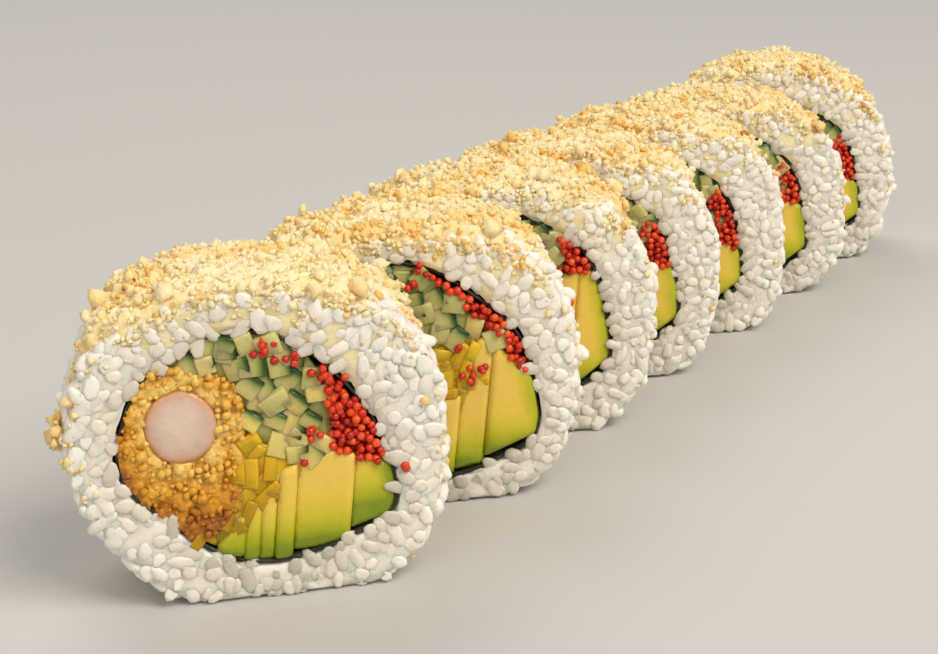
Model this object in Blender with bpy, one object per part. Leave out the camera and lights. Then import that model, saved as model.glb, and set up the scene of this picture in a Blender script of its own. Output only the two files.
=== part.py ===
"""Uramaki roll: seven slices of one inside-out sushi roll, standing in a row on their flat sides.

Each slice is a ring of rice round a sheet of nori, which wraps a battered prawn, cucumber, roe,
pickled radish and avocado. Every layer runs through its slice, so it shows at both cut faces.
The row runs along +X and rests on Z = 0. Lengths are in millimetres and become metres in prism().
"""

import math
import random
from collections import namedtuple

import bmesh
import bpy
from mathutils import Vector

MM = 0.001
SLICE_THICKNESS = 22.0
GAP = 0.3  # left between neighbouring layers
NORI_THICKNESS = 0.45

# The rice ring's outer outline: pressed flat where it stands, with its left foot drawn in. Each
# slice gives the powers of its crown and right foot: 2 is round, and more is squarer.
RICE_STEPS = 38
LEFT_FOOT_POWER = 1.85
FOOT_REACH = 1.16
RIM_ROUNDING = 1.3
RICE_UNEVENNESS = 0.35
CRUMB_UNEVENNESS = 0.75
RICE_STATIONS = (0.0, 0.07, 0.36, 0.66, 0.93, 1.0)

# The nori's centre line on a cut face, as (across, up) from the middle of the filling.
WRAP_STEPS = 32
WRAP = (
    (-16.1, 2.7), (-12.1, 10.7), (-2.7, 15.0), (4.8, 13.4), (11.3, 7.3), (14.9, 0.7),
    (16.4, -8.2), (10.4, -12.0), (1.4, -14.2), (-5.6, -12.4), (-11.7, -7.0), (-15.6, -2.8),
)
BULGE_SPREAD = math.radians(24.0)
ARC_MARGIN = math.radians(3.0)

# Where the borders between layers meet the nori, as angles round the filling.
BATTER_TOP = math.radians(130.0)
PICKLE_END = math.radians(-116.0)
BATTER_END = math.radians(-127.0)

# Borders between layers, from the middle of the filling.
PICKLE_TOP = (-1.5, 1.7)
BATTER_CUCUMBER = ((-8.2, 10.5), (-4.2, 9.8), (-1.7, 8.2), (-1.2, 5.2), PICKLE_TOP)
BATTER_PICKLE = (PICKLE_TOP, (-1.9, -1.3), (-3.1, -2.8), (-2.5, -6.0), (-4.2, -8.0), (-6.6, -9.6))

# How far the pickle spreads: its border with the cucumber, then the one with the avocado, which
# starts where the first ends.
Spread = namedtuple("Spread", "cucumber avocado")
NARROW = Spread(
    ((0.1, 1.4), (1.9, 0.5), (3.4, -0.8)),
    ((5.3, -2.1), (2.9, -2.8), (0.9, -5.8), (-1.1, -7.0), (-3.1, -8.8), (-4.6, -10.8)),
)
MIDDLING = Spread(
    ((1.0, 1.9), (3.4, 1.3), (5.5, 0.4)),
    ((7.4, -0.7), (6.7, -3.2), (4.4, -4.7), (1.6, -5.6), (-1.2, -7.4), (-4.6, -10.8)),
)
WIDE = Spread(
    ((1.6, 3.0), (4.4, 3.8), (6.9, 3.9)),
    ((8.7, 2.9), (8.9, -1.4), (6.4, -3.3), (3.0, -3.9), (-0.6, -6.4), (-4.6, -10.8)),
)

ROE_BOW = 1.1  # how far the border of cucumber and roe curves towards the nori
ROE_BORDER_PLACES = (0.0, 0.25, 0.5, 0.74)

# The prawn: its middle and half sizes on the front face, and its share of that size at the back.
PRAWN_CENTRE = (-8.65, 4.2)
PRAWN_HALF_SIZE = (4.1, 4.35)
PRAWN_STEPS = 14
PRAWN_TAPER = 0.96

# One slice: its middle, its turn about Z in degrees, the rice ring's half sizes and powers, the
# middle and scale of its filling, how far the nori bulges at (angle, amount), how far the pickle
# spreads, then three places on the filling: the point shared by cucumber, roe and avocado, and the
# angles where the roe starts and ends along the nori.
Slice = namedtuple(
    "Slice",
    "x y turn half_width half_height crown right_foot filling scale bulges pickle "
    "roe_foot roe_start roe_end",
)
PLAIN_BULGES = ((38.0, 1.6), (-30.0, -1.4))
SLICES = (
    Slice(-84.9, -0.3, -50.0, 23.4, 19.8, 2.4, 2.6,
          (-0.35, 18.8), 1.00, (), NARROW, (8.9, -0.7), 58.0, -12.0),
    Slice(-52.1, -1.5, -54.8, 24.1, 19.2, 2.4, 2.6,
          (-0.15, 18.2), 1.06, ((18.0, 1.3),), WIDE, (10.3, 4.6), 84.0, -4.0),
    Slice(-23.7, 0.1, -55.8, 24.0, 19.2, 2.4, 2.7,
          (0.15, 18.7), 1.05, PLAIN_BULGES, WIDE, (9.2, 5.2), 60.0, 24.0),
    Slice(4.0, 1.2, -57.8, 23.9, 18.8, 2.4, 2.9,
          (0.35, 17.5), 1.04, PLAIN_BULGES, MIDDLING, (9.0, 1.6), 57.0, 4.0),
    Slice(31.7, 0.6, -59.4, 24.0, 18.6, 2.4, 3.4,
          (0.0, 16.7), 1.03, PLAIN_BULGES, MIDDLING, (9.4, 1.0), 55.0, -8.0),
    Slice(59.1, -1.1, -59.2, 24.0, 18.2, 2.3, 3.0,
          (0.0, 16.3), 1.02, PLAIN_BULGES, MIDDLING, (9.0, 1.8), 58.0, 2.0),
    Slice(87.2, -1.9, -60.0, 22.9, 19.7, 1.95, 2.9,
          (0.0, 16.4), 1.02, PLAIN_BULGES, MIDDLING, (8.8, 2.2), 56.0, -4.0),
)

# Colour, roughness and metallic value of each layer.
FINISHES = {
    "rice": ((0.86, 0.82, 0.74), 0.55, 0.0),
    "nori": ((0.02, 0.03, 0.02), 0.45, 0.0),
    "prawn": ((0.90, 0.70, 0.64), 0.35, 0.0),
    "batter": ((0.78, 0.46, 0.12), 0.60, 0.0),
    "cucumber": ((0.52, 0.64, 0.34), 0.30, 0.0),
    "roe": ((0.75, 0.06, 0.02), 0.20, 0.0),
    "pickle": ((0.78, 0.58, 0.10), 0.30, 0.0),
    "avocado": ((0.74, 0.72, 0.26), 0.40, 0.0),
}


def clear_scene():
    """Removes the objects that a new file opens with."""
    for obj in list(bpy.data.objects):
        bpy.data.objects.remove(obj, do_unlink=True)


def layer_material(layer):
    """The Principled material of a layer, made once."""
    material = bpy.data.materials.get(layer)
    if material is None:
        color, roughness, metallic = FINISHES[layer]
        material = bpy.data.materials.new(layer)
        material.use_nodes = True
        shader = material.node_tree.nodes["Principled BSDF"]
        shader.inputs["Base Color"].default_value = (*color, 1.0)
        shader.inputs["Roughness"].default_value = roughness
        shader.inputs["Metallic"].default_value = metallic
        material.diffuse_color = (*color, 1.0)
    return material


def closed_spline(points, steps):
    """Points evenly spread in parameter along a closed Catmull-Rom curve."""
    count = len(points)
    curve = []
    for step in range(steps):
        whole, t = divmod(step * count / steps, 1.0)
        a, b, c, d = (Vector(points[(int(whole) + k) % count]) for k in (-1, 0, 1, 2))
        curve.append(
            0.5 * (2 * b + (c - a) * t + (2 * a - 5 * b + 4 * c - d) * t * t
                   + (3 * b - a - 3 * c + d) * t ** 3)
        )
    return curve


def offset_loop(loop, distance):
    """A closed loop moved outwards by a distance, or inwards if that is negative."""
    moved = []
    area = sum(a.cross(b) for a, b in zip(loop, loop[1:] + loop[:1]))
    side = math.copysign(1.0, area)
    for index, point in enumerate(loop):
        before = (point - loop[index - 1]).normalized()
        after = (loop[(index + 1) % len(loop)] - point).normalized()
        along = (before + after).normalized()
        normal = Vector((along.y, -along.x)) * side
        sharpness = max(0.6, normal.dot(Vector((before.y, -before.x)) * side))
        moved.append(point + normal * (distance / sharpness))
    return moved


def angle_apart(a, b):
    """The smaller angle between two directions."""
    return abs((a - b + math.pi) % (2 * math.pi) - math.pi)


def filling_place(spec, point):
    """A point of the filling, given from its middle, on this slice's face."""
    return Vector(spec.filling) + spec.scale * Vector(point)


def nori_line(spec):
    """The nori's centre line on this slice's face, anticlockwise from its right side."""
    line = []
    for point in closed_spline(WRAP[::-1], WRAP_STEPS):
        direction = math.atan2(point.y, point.x)
        push = sum(
            amount * math.exp(-(angle_apart(direction, math.radians(at)) / BULGE_SPREAD) ** 2)
            for at, amount in spec.bulges
        )
        line.append(filling_place(spec, point * (1 + push / point.length)))
    return line


def on_loop(loop, middle, angle):
    """Where a ray from the middle, at this angle, meets an anticlockwise loop."""
    ray = Vector((math.cos(angle), math.sin(angle)))
    for before, after in zip(loop, loop[1:] + loop[:1]):
        low, high = ray.cross(before - middle), ray.cross(after - middle)
        if low <= 0 < high and ray.dot(before - middle) > 0:
            return before.lerp(after, low / (low - high))
    raise ValueError("the ray misses the loop")


def nori_arc(spec, start, end, inset):
    """The nori's inner side between two angles, going anticlockwise from the first."""
    loop = offset_loop(nori_line(spec), -inset)
    middle = Vector(spec.filling)
    sweep = (end - start) % (2 * math.pi)

    def turn(point):
        away = point - middle
        return (math.atan2(away.y, away.x) - start) % (2 * math.pi)

    inner = sorted((p for p in loop if ARC_MARGIN < turn(p) < sweep - ARC_MARGIN), key=turn)
    return [on_loop(loop, middle, start), *inner, on_loop(loop, middle, end)]


def rice_outline(spec, part, rng):
    """The rice ring's uneven outer side at one station along the slice, 0 at the front face."""
    at_face = part in (RICE_STATIONS[0], RICE_STATIONS[-1])
    loop = []
    for step in range(RICE_STEPS):
        angle = 2 * math.pi * step / RICE_STEPS
        across, up = math.cos(angle), math.sin(angle)
        power = spec.crown
        if up < 0:
            power = LEFT_FOOT_POWER if across < 0 else spec.right_foot
        reach = (abs(across) ** power + abs(up) ** power) ** (-1 / power)
        tall = spec.half_height * (1.0 if up >= 0 else FOOT_REACH)
        bump = RICE_UNEVENNESS + (CRUMB_UNEVENNESS - RICE_UNEVENNESS) * max(0.0, up)
        shift = rng.uniform(-bump, 0.6 * bump) - (RIM_ROUNDING if at_face else 0.0)
        point = Vector((spec.half_width * reach * across, tall * reach * up))
        point *= 1 + shift / point.length
        loop.append(Vector((point.x, max(0.0, point.y + spec.half_height))))
    return loop


def wall(bm, loops):
    """Faces between each loop of vertices and the next."""
    for first, second in zip(loops, loops[1:]):
        count = len(first)
        for k in range(count):
            bm.faces.new((first[k], first[(k + 1) % count], second[(k + 1) % count], second[k]))


def cap(bm, loops):
    """A flat face filled between an outer loop and any loops inside it."""
    edges = []
    for loop in loops:
        edges += [bm.edges.get((a, b)) for a, b in zip(loop, loop[1:] + loop[:1])]
    bmesh.ops.triangle_fill(bm, edges=edges, use_beauty=True)


def prism(name, layer, parent, sides):
    """A layer of a slice. Each side is a list of stations, (place along the slice, outline)."""
    bm = bmesh.new()
    fronts, backs = [], []
    for stations in sides:
        rings = [
            [
                bm.verts.new((p.x * MM, (part - 0.5) * SLICE_THICKNESS * MM, p.y * MM))
                for p in outline
            ]
            for part, outline in stations
        ]
        wall(bm, rings)
        fronts.append(rings[0])
        backs.append(rings[-1])
    cap(bm, fronts)
    cap(bm, backs)
    bmesh.ops.recalc_face_normals(bm, faces=bm.faces)
    mesh = bpy.data.meshes.new(name)
    bm.to_mesh(mesh)
    bm.free()
    mesh.materials.append(layer_material(layer))
    if layer in ("rice", "nori", "prawn", "batter", "roe"):
        mesh.shade_smooth()
        mesh.set_sharp_from_angle(angle=math.radians(50.0))
    obj = bpy.data.objects.new(name, mesh)
    obj.parent = parent
    bpy.context.scene.collection.objects.link(obj)
    return obj


def straight(outline):
    """One side that keeps its outline from face to face."""
    return [(0.0, outline), (1.0, outline)]


def add_rice(number, spec, parent):
    """The ring of rice and crumbs round the nori."""
    rng = random.Random(100 + number)
    outer = [(part, rice_outline(spec, part, rng)) for part in RICE_STATIONS]
    inner = offset_loop(nori_line(spec), NORI_THICKNESS / 2 + GAP)
    prism(f"rice_{number}", "rice", parent, [outer, straight(inner)])


def add_nori(number, spec, parent):
    """The thin dark sheet that wraps the filling."""
    line = nori_line(spec)
    outer = offset_loop(line, NORI_THICKNESS / 2)
    inner = offset_loop(line, -NORI_THICKNESS / 2)
    prism(f"nori_{number}", "nori", parent, [straight(outer), straight(inner)])


def prawn_outline(spec, grow):
    """The prawn's round outline, grown by a distance."""
    outline = []
    for step in range(PRAWN_STEPS):
        angle = 2 * math.pi * step / PRAWN_STEPS
        point = (
            PRAWN_CENTRE[0] + PRAWN_HALF_SIZE[0] * math.cos(angle),
            PRAWN_CENTRE[1] + PRAWN_HALF_SIZE[1] * math.sin(angle),
        )
        outline.append(filling_place(spec, point))
    return offset_loop(outline, grow)


def add_prawn(number, spec, parent):
    """The prawn, a little slimmer towards the back face."""
    front = prawn_outline(spec, 0.0)
    back = prawn_outline(spec, -spec.scale * PRAWN_HALF_SIZE[0] * (1 - PRAWN_TAPER))
    prism(f"prawn_{number}", "prawn", parent, [[(0.0, front), (1.0, back)]])


def placed(spec, border):
    """A border's points on this slice's face."""
    return [filling_place(spec, point) for point in border]


def roe_border(spec):
    """The curved border between cucumber and roe, from the roe's foot up to the nori."""
    foot = filling_place(spec, spec.roe_foot)
    top = on_loop(nori_line(spec), Vector(spec.filling), math.radians(spec.roe_start))
    lean = (top - foot).normalized()
    bow = Vector((lean.y, -lean.x)) * ROE_BOW
    return [foot.lerp(top, t) + bow * math.sin(math.pi * t) for t in ROE_BORDER_PLACES]


def add_filling(number, spec, parent):
    """Batter round the prawn, cucumber, roe, pickle and avocado, each inset from its borders."""
    rim = NORI_THICKNESS / 2 + GAP / 2
    roe_start, roe_end = math.radians(spec.roe_start), math.radians(spec.roe_end)
    roe_side = roe_border(spec)
    roe_foot = roe_side[0]
    over_pickle = placed(spec, (PICKLE_TOP, *spec.pickle.cucumber, spec.pickle.avocado[0]))
    under_pickle = placed(spec, spec.pickle.avocado)
    avocado_rise = [over_pickle[-1].lerp(roe_foot, 0.5)]
    under_roe = on_loop(offset_loop(nori_line(spec), -rim), Vector(spec.filling), roe_end)
    outlines = {
        "batter": nori_arc(spec, BATTER_TOP, BATTER_END, rim)
        + placed(spec, BATTER_PICKLE)[::-1]
        + placed(spec, BATTER_CUCUMBER)[-2::-1],
        "cucumber": nori_arc(spec, roe_start, BATTER_TOP, rim)
        + placed(spec, BATTER_CUCUMBER)
        + over_pickle[1:]
        + avocado_rise
        + roe_side,
        "roe": nori_arc(spec, roe_end, roe_start, rim)
        + roe_side[::-1]
        + [roe_foot.lerp(under_roe, 0.5)],
        "pickle": nori_arc(spec, BATTER_END, PICKLE_END, rim)
        + under_pickle[::-1]
        + over_pickle[-2::-1]
        + placed(spec, BATTER_PICKLE)[1:],
        "avocado": nori_arc(spec, PICKLE_END, roe_end, rim)
        + [under_roe.lerp(roe_foot, 0.5), roe_foot]
        + avocado_rise
        + under_pickle,
    }
    for layer, outline in outlines.items():
        sides = [straight(offset_loop(outline, -GAP / 2))]
        if layer == "batter":
            sides.append(straight(prawn_outline(spec, GAP)))
        prism(f"{layer}_{number}", layer, parent, sides)


def add_slice(number, spec):
    """One slice under an empty that holds its place and turn."""
    holder = bpy.data.objects.new(f"slice_{number}", None)
    holder.location = (spec.x * MM, spec.y * MM, 0.0)
    holder.rotation_euler = (0.0, 0.0, math.radians(spec.turn))
    bpy.context.scene.collection.objects.link(holder)
    add_rice(number, spec, holder)
    add_nori(number, spec, holder)
    add_prawn(number, spec, holder)
    add_filling(number, spec, holder)


def main():
    clear_scene()
    for number, spec in enumerate(SLICES, start=1):
        add_slice(number, spec)


main()
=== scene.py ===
import itertools
import math

import bpy
import numpy as np
from bpy.props import FloatProperty, FloatVectorProperty, IntProperty, PointerProperty
from mathutils import Matrix, Vector
from mathutils.geometry import delaunay_2d_cdt


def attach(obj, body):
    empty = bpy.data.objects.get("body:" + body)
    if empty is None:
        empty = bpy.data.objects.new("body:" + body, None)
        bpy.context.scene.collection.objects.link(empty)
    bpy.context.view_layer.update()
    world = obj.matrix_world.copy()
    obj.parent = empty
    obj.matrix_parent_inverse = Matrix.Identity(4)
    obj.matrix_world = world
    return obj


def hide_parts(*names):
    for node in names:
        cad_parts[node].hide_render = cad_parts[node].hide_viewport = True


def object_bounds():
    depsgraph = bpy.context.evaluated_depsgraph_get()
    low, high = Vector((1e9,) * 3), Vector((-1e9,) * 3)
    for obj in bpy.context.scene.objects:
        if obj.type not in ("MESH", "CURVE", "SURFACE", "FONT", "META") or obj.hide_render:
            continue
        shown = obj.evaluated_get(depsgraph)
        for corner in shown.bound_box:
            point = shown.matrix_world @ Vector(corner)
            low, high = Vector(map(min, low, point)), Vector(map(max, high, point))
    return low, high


bl_info = {
    "name": "Uramaki roll",
    "version": (1, 0, 0),
    "blender": (4, 5, 0),
    "location": "View3D > Sidebar > Uramaki",
    "description": "Dresses a row of uramaki slices with rice grains, crumbs and their fillings",
    "category": "Add Mesh",
}

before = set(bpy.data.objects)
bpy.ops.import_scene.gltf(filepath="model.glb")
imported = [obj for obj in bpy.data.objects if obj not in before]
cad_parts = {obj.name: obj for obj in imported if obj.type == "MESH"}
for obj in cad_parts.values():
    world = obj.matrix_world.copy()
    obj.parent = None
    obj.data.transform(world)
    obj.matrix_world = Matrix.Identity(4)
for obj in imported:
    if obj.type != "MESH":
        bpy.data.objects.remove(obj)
CAD_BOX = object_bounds()

MM = 0.001
BODY = "root"
LAYERS = ("rice", "nori", "prawn", "batter", "cucumber", "roe", "pickle", "avocado")
SLICE_COUNT = sum(name.startswith("rice_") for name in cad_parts)
FACES = (-1, 1)  # the front and the back cut face
# Loose roe on a slice: each cluster's (across, up) from the filling's middle, spread and count.
STRAY_ROE = {
    1: (
        ((2.0, 13.3), 0.9, 8), ((5.6, 12.4), 0.6, 4), ((8.4, 10.2), 0.6, 4), ((7.0, 2.4), 0.5, 4),
        ((6.0, -0.6), 0.3, 1), ((11.7, 8.8), 0.3, 1), ((17.9, -3.2), 0.3, 2), ((9.6, 5.2), 0.8, 5),
    ),
    2: (((9.2, 0.8), 0.8, 8), ((2.2, 14.0), 0.9, 5), ((7.4, 4.6), 0.4, 3)),
}
OTHER_STRAY_ROE = (((8.6, 6.0), 1.1, 6), ((10.4, 1.5), 0.8, 4))
# Where beads fill the roe's outline: within this distance of the nori and below this angle.
ROE_BANDS = {1: (9.0, 62.0), 2: (1.9, 90.0), 3: (3.2, 50.0)}
OTHER_ROE_BAND = (2.9, 35.0)
# The fan of avocado: its cuts, across from the filling's middle, and for each piece how far its
# lower end falls short of the nori and how steeply that end rises.
AVOCADO_CUTS = {
    1: ((-1.0, 0.9, 2.8, 4.9, 11.8),
        ((0.4, -0.25), (0.2, -0.1), (0.2, 0.0), (0.2, 0.08), (0.75, 0.05), (0.8, 0.32))),
    2: ((-0.8, 1.6, 4.6, 7.2, 11.2),
        ((0.3, 0.0), (0.3, 0.0), (0.2, 0.1), (0.3, 0.15), (0.75, 0.15), (1.1, 0.4))),
}
OTHER_AVOCADO_CUTS = (
    (0.6, 3.6, 6.4, 11.3), ((0.3, -0.2), (0.2, 0.0), (0.5, 0.1), (0.4, 0.3), (0.5, 0.7)),
)
CLUMP = (1, (-23.4, 22.6), 2.6)  # crumbs caught low on one slice: its number, place and radius
FACE_BED_DEPTH = 0.05  # how far the packed rice lies under the cut grains, in millimetres
CRUST_RISE = 1.1  # the most that crumbs stand above the solids, in millimetres
STRAY_SHARE = 0.055  # of the places below the crust that still hold a crumb


# ---------------------------------------------------------------- places, read from the frame

class SliceAxes:
    """One slice's own axes: across its cut faces, along its thickness, and up, in millimetres."""

    def __init__(self, number):
        self.number = number
        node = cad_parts[f"avocado_{number}"]
        totals = {}
        for polygon in node.data.polygons:
            normal = polygon.normal
            if abs(normal.z) < 0.01 and normal.x < 0:
                key = round(math.degrees(math.atan2(normal.y, normal.x)))
                area, way = totals.get(key, (0.0, Vector()))
                totals[key] = (area + polygon.area, way + normal * polygon.area)
        away = -max(totals.values(), key=lambda item: item[0])[1].normalized()
        self.along = np.array((away.x, away.y))
        self.across = np.array((away.y, -away.x))
        self.origin = np.zeros(2)
        rice = self.local("rice")
        low, high = rice.min(0), rice.max(0)
        middle = (low + high) / 2
        self.origin = middle[0] * self.across + middle[1] * self.along
        self.half = (high[1] - low[1]) / 2

    def points(self, layer):
        """A node's vertices in the row's frame."""
        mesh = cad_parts[f"{layer}_{self.number}"].data
        points = np.empty(len(mesh.vertices) * 3)
        mesh.vertices.foreach_get("co", points)
        return points.reshape(-1, 3) / MM

    def local(self, layer):
        """A node's vertices as (across, along, up)."""
        points = self.points(layer)
        flat = points[:, :2] - self.origin
        return np.column_stack((flat @ self.across, flat @ self.along, points[:, 2]))

    def world(self, points):
        """Points from (across, along, up) back to the row's frame."""
        flat = self.origin + points[:, :1] * self.across + points[:, 1:2] * self.along
        return np.column_stack((flat, points[:, 2]))

    def face_loops(self, layer):
        """A node's outlines on its front face, anticlockwise as (across, up), the outer first."""
        points = np.round(self.local(layer), 2)
        unique, index = np.unique(points, axis=0, return_inverse=True)
        index = index.reshape(-1)
        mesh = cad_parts[f"{layer}_{self.number}"].data
        on_face = unique[:, 1] < unique[:, 1].min() + 0.05
        following = {}
        edges = set()
        for polygon in mesh.polygons:
            corners = [int(index[k]) for k in polygon.vertices]
            if all(on_face[k] for k in corners):
                edges |= set(zip(corners, corners[1:] + corners[:1]))
        for a, b in edges:
            if (b, a) not in edges:
                following[a] = b
        loops = []
        while following:
            start, at = following.popitem()
            loop = [start]
            while at != start:
                loop.append(at)
                at = following.pop(at)
            outline = unique[loop][:, [0, 2]]
            loops.append(outline if signed_area(outline) > 0 else outline[::-1])
        return sorted(loops, key=lambda loop: -signed_area(loop))


def signed_area(loop):
    """Twice a loop's area, positive when it runs anticlockwise."""
    after = np.roll(loop, -1, axis=0)
    return float((loop[:, 0] * after[:, 1] - loop[:, 1] * after[:, 0]).sum())


class RiceRing:
    """The outer side and the hole of one slice's rice, read from its node."""

    ANGLES = np.linspace(-math.pi, math.pi, 145)

    def __init__(self, axes):
        points = axes.local("rice")
        self.hole = axes.face_loops("rice")[1]
        self.middle = np.array((0.0, (points[:, 2].min() + points[:, 2].max()) / 2))
        self.stations = np.unique(np.round(points[:, 1], 1))
        ring = points[:, [0, 2]] - self.middle
        reach = np.hypot(ring[:, 0], ring[:, 1])
        turn = np.arctan2(ring[:, 1], ring[:, 0])
        inside = self.stations[len(self.stations) // 2]
        rough = self.spread(turn, reach, abs(points[:, 1] - inside) < 0.1)
        outer = reach > np.interp(turn, self.ANGLES, rough) - 3.2
        self.reach = np.array(
            [self.spread(turn, reach, outer & (abs(points[:, 1] - s) < 0.1)) for s in self.stations]
        )

    def spread(self, turn, reach, chosen):
        """Reach at the grid of angles."""
        order = np.argsort(turn[chosen])
        return np.interp(
            self.ANGLES, turn[chosen][order], reach[chosen][order], period=2 * math.pi
        )

    def reach_at(self, angle, along):
        """How far the outer side lies from the ring's middle at angles and places along."""
        angle = (angle + math.pi) % (2 * math.pi) - math.pi
        each = np.array([np.interp(angle, self.ANGLES, row) for row in self.reach])
        place = np.interp(along, self.stations, np.arange(len(self.stations)))
        low = np.minimum(place.astype(int), len(self.stations) - 2)
        share = place - low
        pick = np.arange(len(angle))
        return each[low, pick] * (1 - share) + each[low + 1, pick] * share

    def surface(self, angle, along):
        """Points on the outer side, with the outward normal and the tangent across it."""
        def at(turn):
            reach = self.reach_at(turn, along)
            return self.middle + reach[:, None] * np.column_stack((np.cos(turn), np.sin(turn)))

        here = at(angle)
        tangent = at(angle + 0.06) - at(angle - 0.06)
        tangent /= np.linalg.norm(tangent, axis=1)[:, None]
        zero = np.zeros(len(angle))
        points = np.column_stack((here[:, 0], along, here[:, 1]))
        normals = np.column_stack((tangent[:, 1], zero, -tangent[:, 0]))
        tangents = np.column_stack((tangent[:, 0], zero, tangent[:, 1]))
        return points, normals, tangents


# ---------------------------------------------------------------- noise and shapes

def hashed(cells, seed):
    """A pseudo-random value from 0 to 1 for each whole-numbered cell."""
    mixed = (
        cells[..., 0] * 73856093 ^ cells[..., 1] * 19349663
        ^ cells[..., 2] * 83492791 ^ (seed * 97 + 13) * 2654435761
    ) & 0xFFFFFFFF
    mixed = ((mixed ^ (mixed >> 13)) * 1274126177) & 0xFFFFFFFF
    mixed = ((mixed ^ (mixed >> 16)) * 2246822519) & 0xFFFFFFFF
    return ((mixed >> 8) & 0xFFFF) / 65535.0


def soft_noise(points, size, seed):
    """Smooth noise from 0 to 1, with features of about this size."""
    cells = points / size
    base = np.floor(cells).astype(np.int64)
    share = cells - base
    share = share * share * (3 - 2 * share)
    total = np.zeros(len(points))
    for corner in itertools.product((0, 1), repeat=3):
        step = np.array(corner)
        weight = np.prod(np.where(step, share, 1 - share), axis=1)
        total += weight * hashed(base + step, seed)
    return total


def lumps(points, size, seed):
    """Rounded lumps of about this size, from 0 in the seams to 1 on top."""
    cells = points / size
    base = np.floor(cells).astype(np.int64)
    nearest = np.full(len(points), 9.0)
    for corner in itertools.product((-1, 0, 1), repeat=3):
        cell = base + np.array(corner)
        spot = np.stack([hashed(cell, seed + k) for k in range(3)], axis=1)
        nearest = np.minimum(nearest, ((cell + spot - cells) ** 2).sum(1))
    return np.clip(1 - nearest * 1.3, 0, 1)


def resampled(loop, spacing):
    """A closed loop with points evenly spread along its straight sides."""
    closed = np.vstack((loop, loop[:1]))
    length = np.concatenate(([0.0], np.cumsum(np.linalg.norm(np.diff(closed, axis=0), axis=1))))
    count = max(8, round(length[-1] / spacing))
    at = np.arange(count) * length[-1] / count
    return np.column_stack([np.interp(at, length, closed[:, k]) for k in (0, 1)])


def smoothed(loop, rounds=2):
    """A closed loop with its corners rounded off."""
    for _ in range(rounds):
        loop = (np.roll(loop, 1, axis=0) + 2 * loop + np.roll(loop, -1, axis=0)) / 4
    return loop


def grown(loop, distance):
    """An anticlockwise loop moved outwards, or inwards if the distance is negative."""
    tangent = np.roll(loop, -1, axis=0) - np.roll(loop, 1, axis=0)
    tangent /= np.linalg.norm(tangent, axis=1)[:, None]
    return loop + distance * np.column_stack((tangent[:, 1], -tangent[:, 0]))


def shrunk(loop, distance):
    """An outline moved inwards, without the stretches too narrow for it."""
    moved = grown(loop, -distance)
    moved = moved[inside(moved, loop) & (distance_to(moved, loop) > distance * 0.9)]
    for _ in range(4):
        before = moved - np.roll(moved, 1, axis=0)
        after = np.roll(moved, -1, axis=0) - moved
        moved = moved[(before * after).sum(1) > 0]
    return moved


def inside(points, loop):
    """Whether each point lies inside a closed loop."""
    after = np.roll(loop, -1, axis=0)
    result = np.zeros(len(points), bool)
    for (x1, y1), (x2, y2) in zip(loop, after):
        spans = (y1 > points[:, 1]) != (y2 > points[:, 1])
        with np.errstate(divide="ignore", invalid="ignore"):
            crossing = (x2 - x1) * (points[:, 1] - y1) / (y2 - y1) + x1
        result ^= spans & (points[:, 0] < crossing)
    return result


def distance_to(points, loop):
    """The distance from each point to a closed loop."""
    nearest = np.full(len(points), 1e9)
    for a, b in zip(loop, np.roll(loop, -1, axis=0)):
        side = b - a
        share = np.clip(((points - a) @ side) / max(side @ side, 1e-9), 0, 1)
        nearest = np.minimum(nearest, np.linalg.norm(points - a - share[:, None] * side, axis=1))
    return nearest


def spread_points(low, high, spacing, tries, rng, keep):
    """Random points in a box that keep a spacing apart and pass a test."""
    candidates = rng.uniform(low, high, (tries, len(low)))
    candidates = candidates[keep(candidates)]
    chosen = np.empty((0, len(low)))
    for candidate in candidates:
        if len(chosen) == 0 or ((chosen - candidate) ** 2).sum(1).min() > spacing ** 2:
            chosen = np.vstack((chosen, candidate))
    return chosen


def ball(segments, rings):
    """A unit ball as vertices and triangles."""
    verts = [(0.0, 0.0, 1.0)]
    for ring in range(1, rings):
        up = math.pi * ring / rings
        for k in range(segments):
            turn = 2 * math.pi * k / segments
            verts.append((math.sin(up) * math.cos(turn), math.sin(up) * math.sin(turn), math.cos(up)))
    verts.append((0.0, 0.0, -1.0))
    faces = []
    last = len(verts) - 1
    for k in range(segments):
        after = (k + 1) % segments
        faces.append((0, 1 + k, 1 + after))
        for ring in range(rings - 2):
            a, b = 1 + ring * segments, 1 + (ring + 1) * segments
            faces.append((a + k, b + k, b + after))
            faces.append((a + k, b + after, a + after))
        a = 1 + (rings - 2) * segments
        faces.append((a + k, last, a + after))
    return np.array(verts), np.array(faces)


def crumb_shape(rng):
    """A jagged crumb: a twenty-sided ball with its corners pushed in and out."""
    golden = (1 + math.sqrt(5)) / 2
    corners = []
    for a, b in itertools.product((-1, 1), (-golden, golden)):
        corners += [(0, a, b), (a, b, 0), (b, 0, a)]
    verts = np.array(corners, float)
    verts /= np.linalg.norm(verts[0])
    faces = []
    for trio in itertools.combinations(range(12), 3):
        a, b, c = verts[list(trio)]
        if max(np.linalg.norm(a - b), np.linalg.norm(b - c), np.linalg.norm(a - c)) < 1.1:
            outward = np.cross(b - a, c - a) @ (a + b + c) > 0
            faces.append(trio if outward else trio[::-1])
    return verts * rng.uniform(0.5, 1.3, (12, 1)), np.array(faces)


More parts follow.
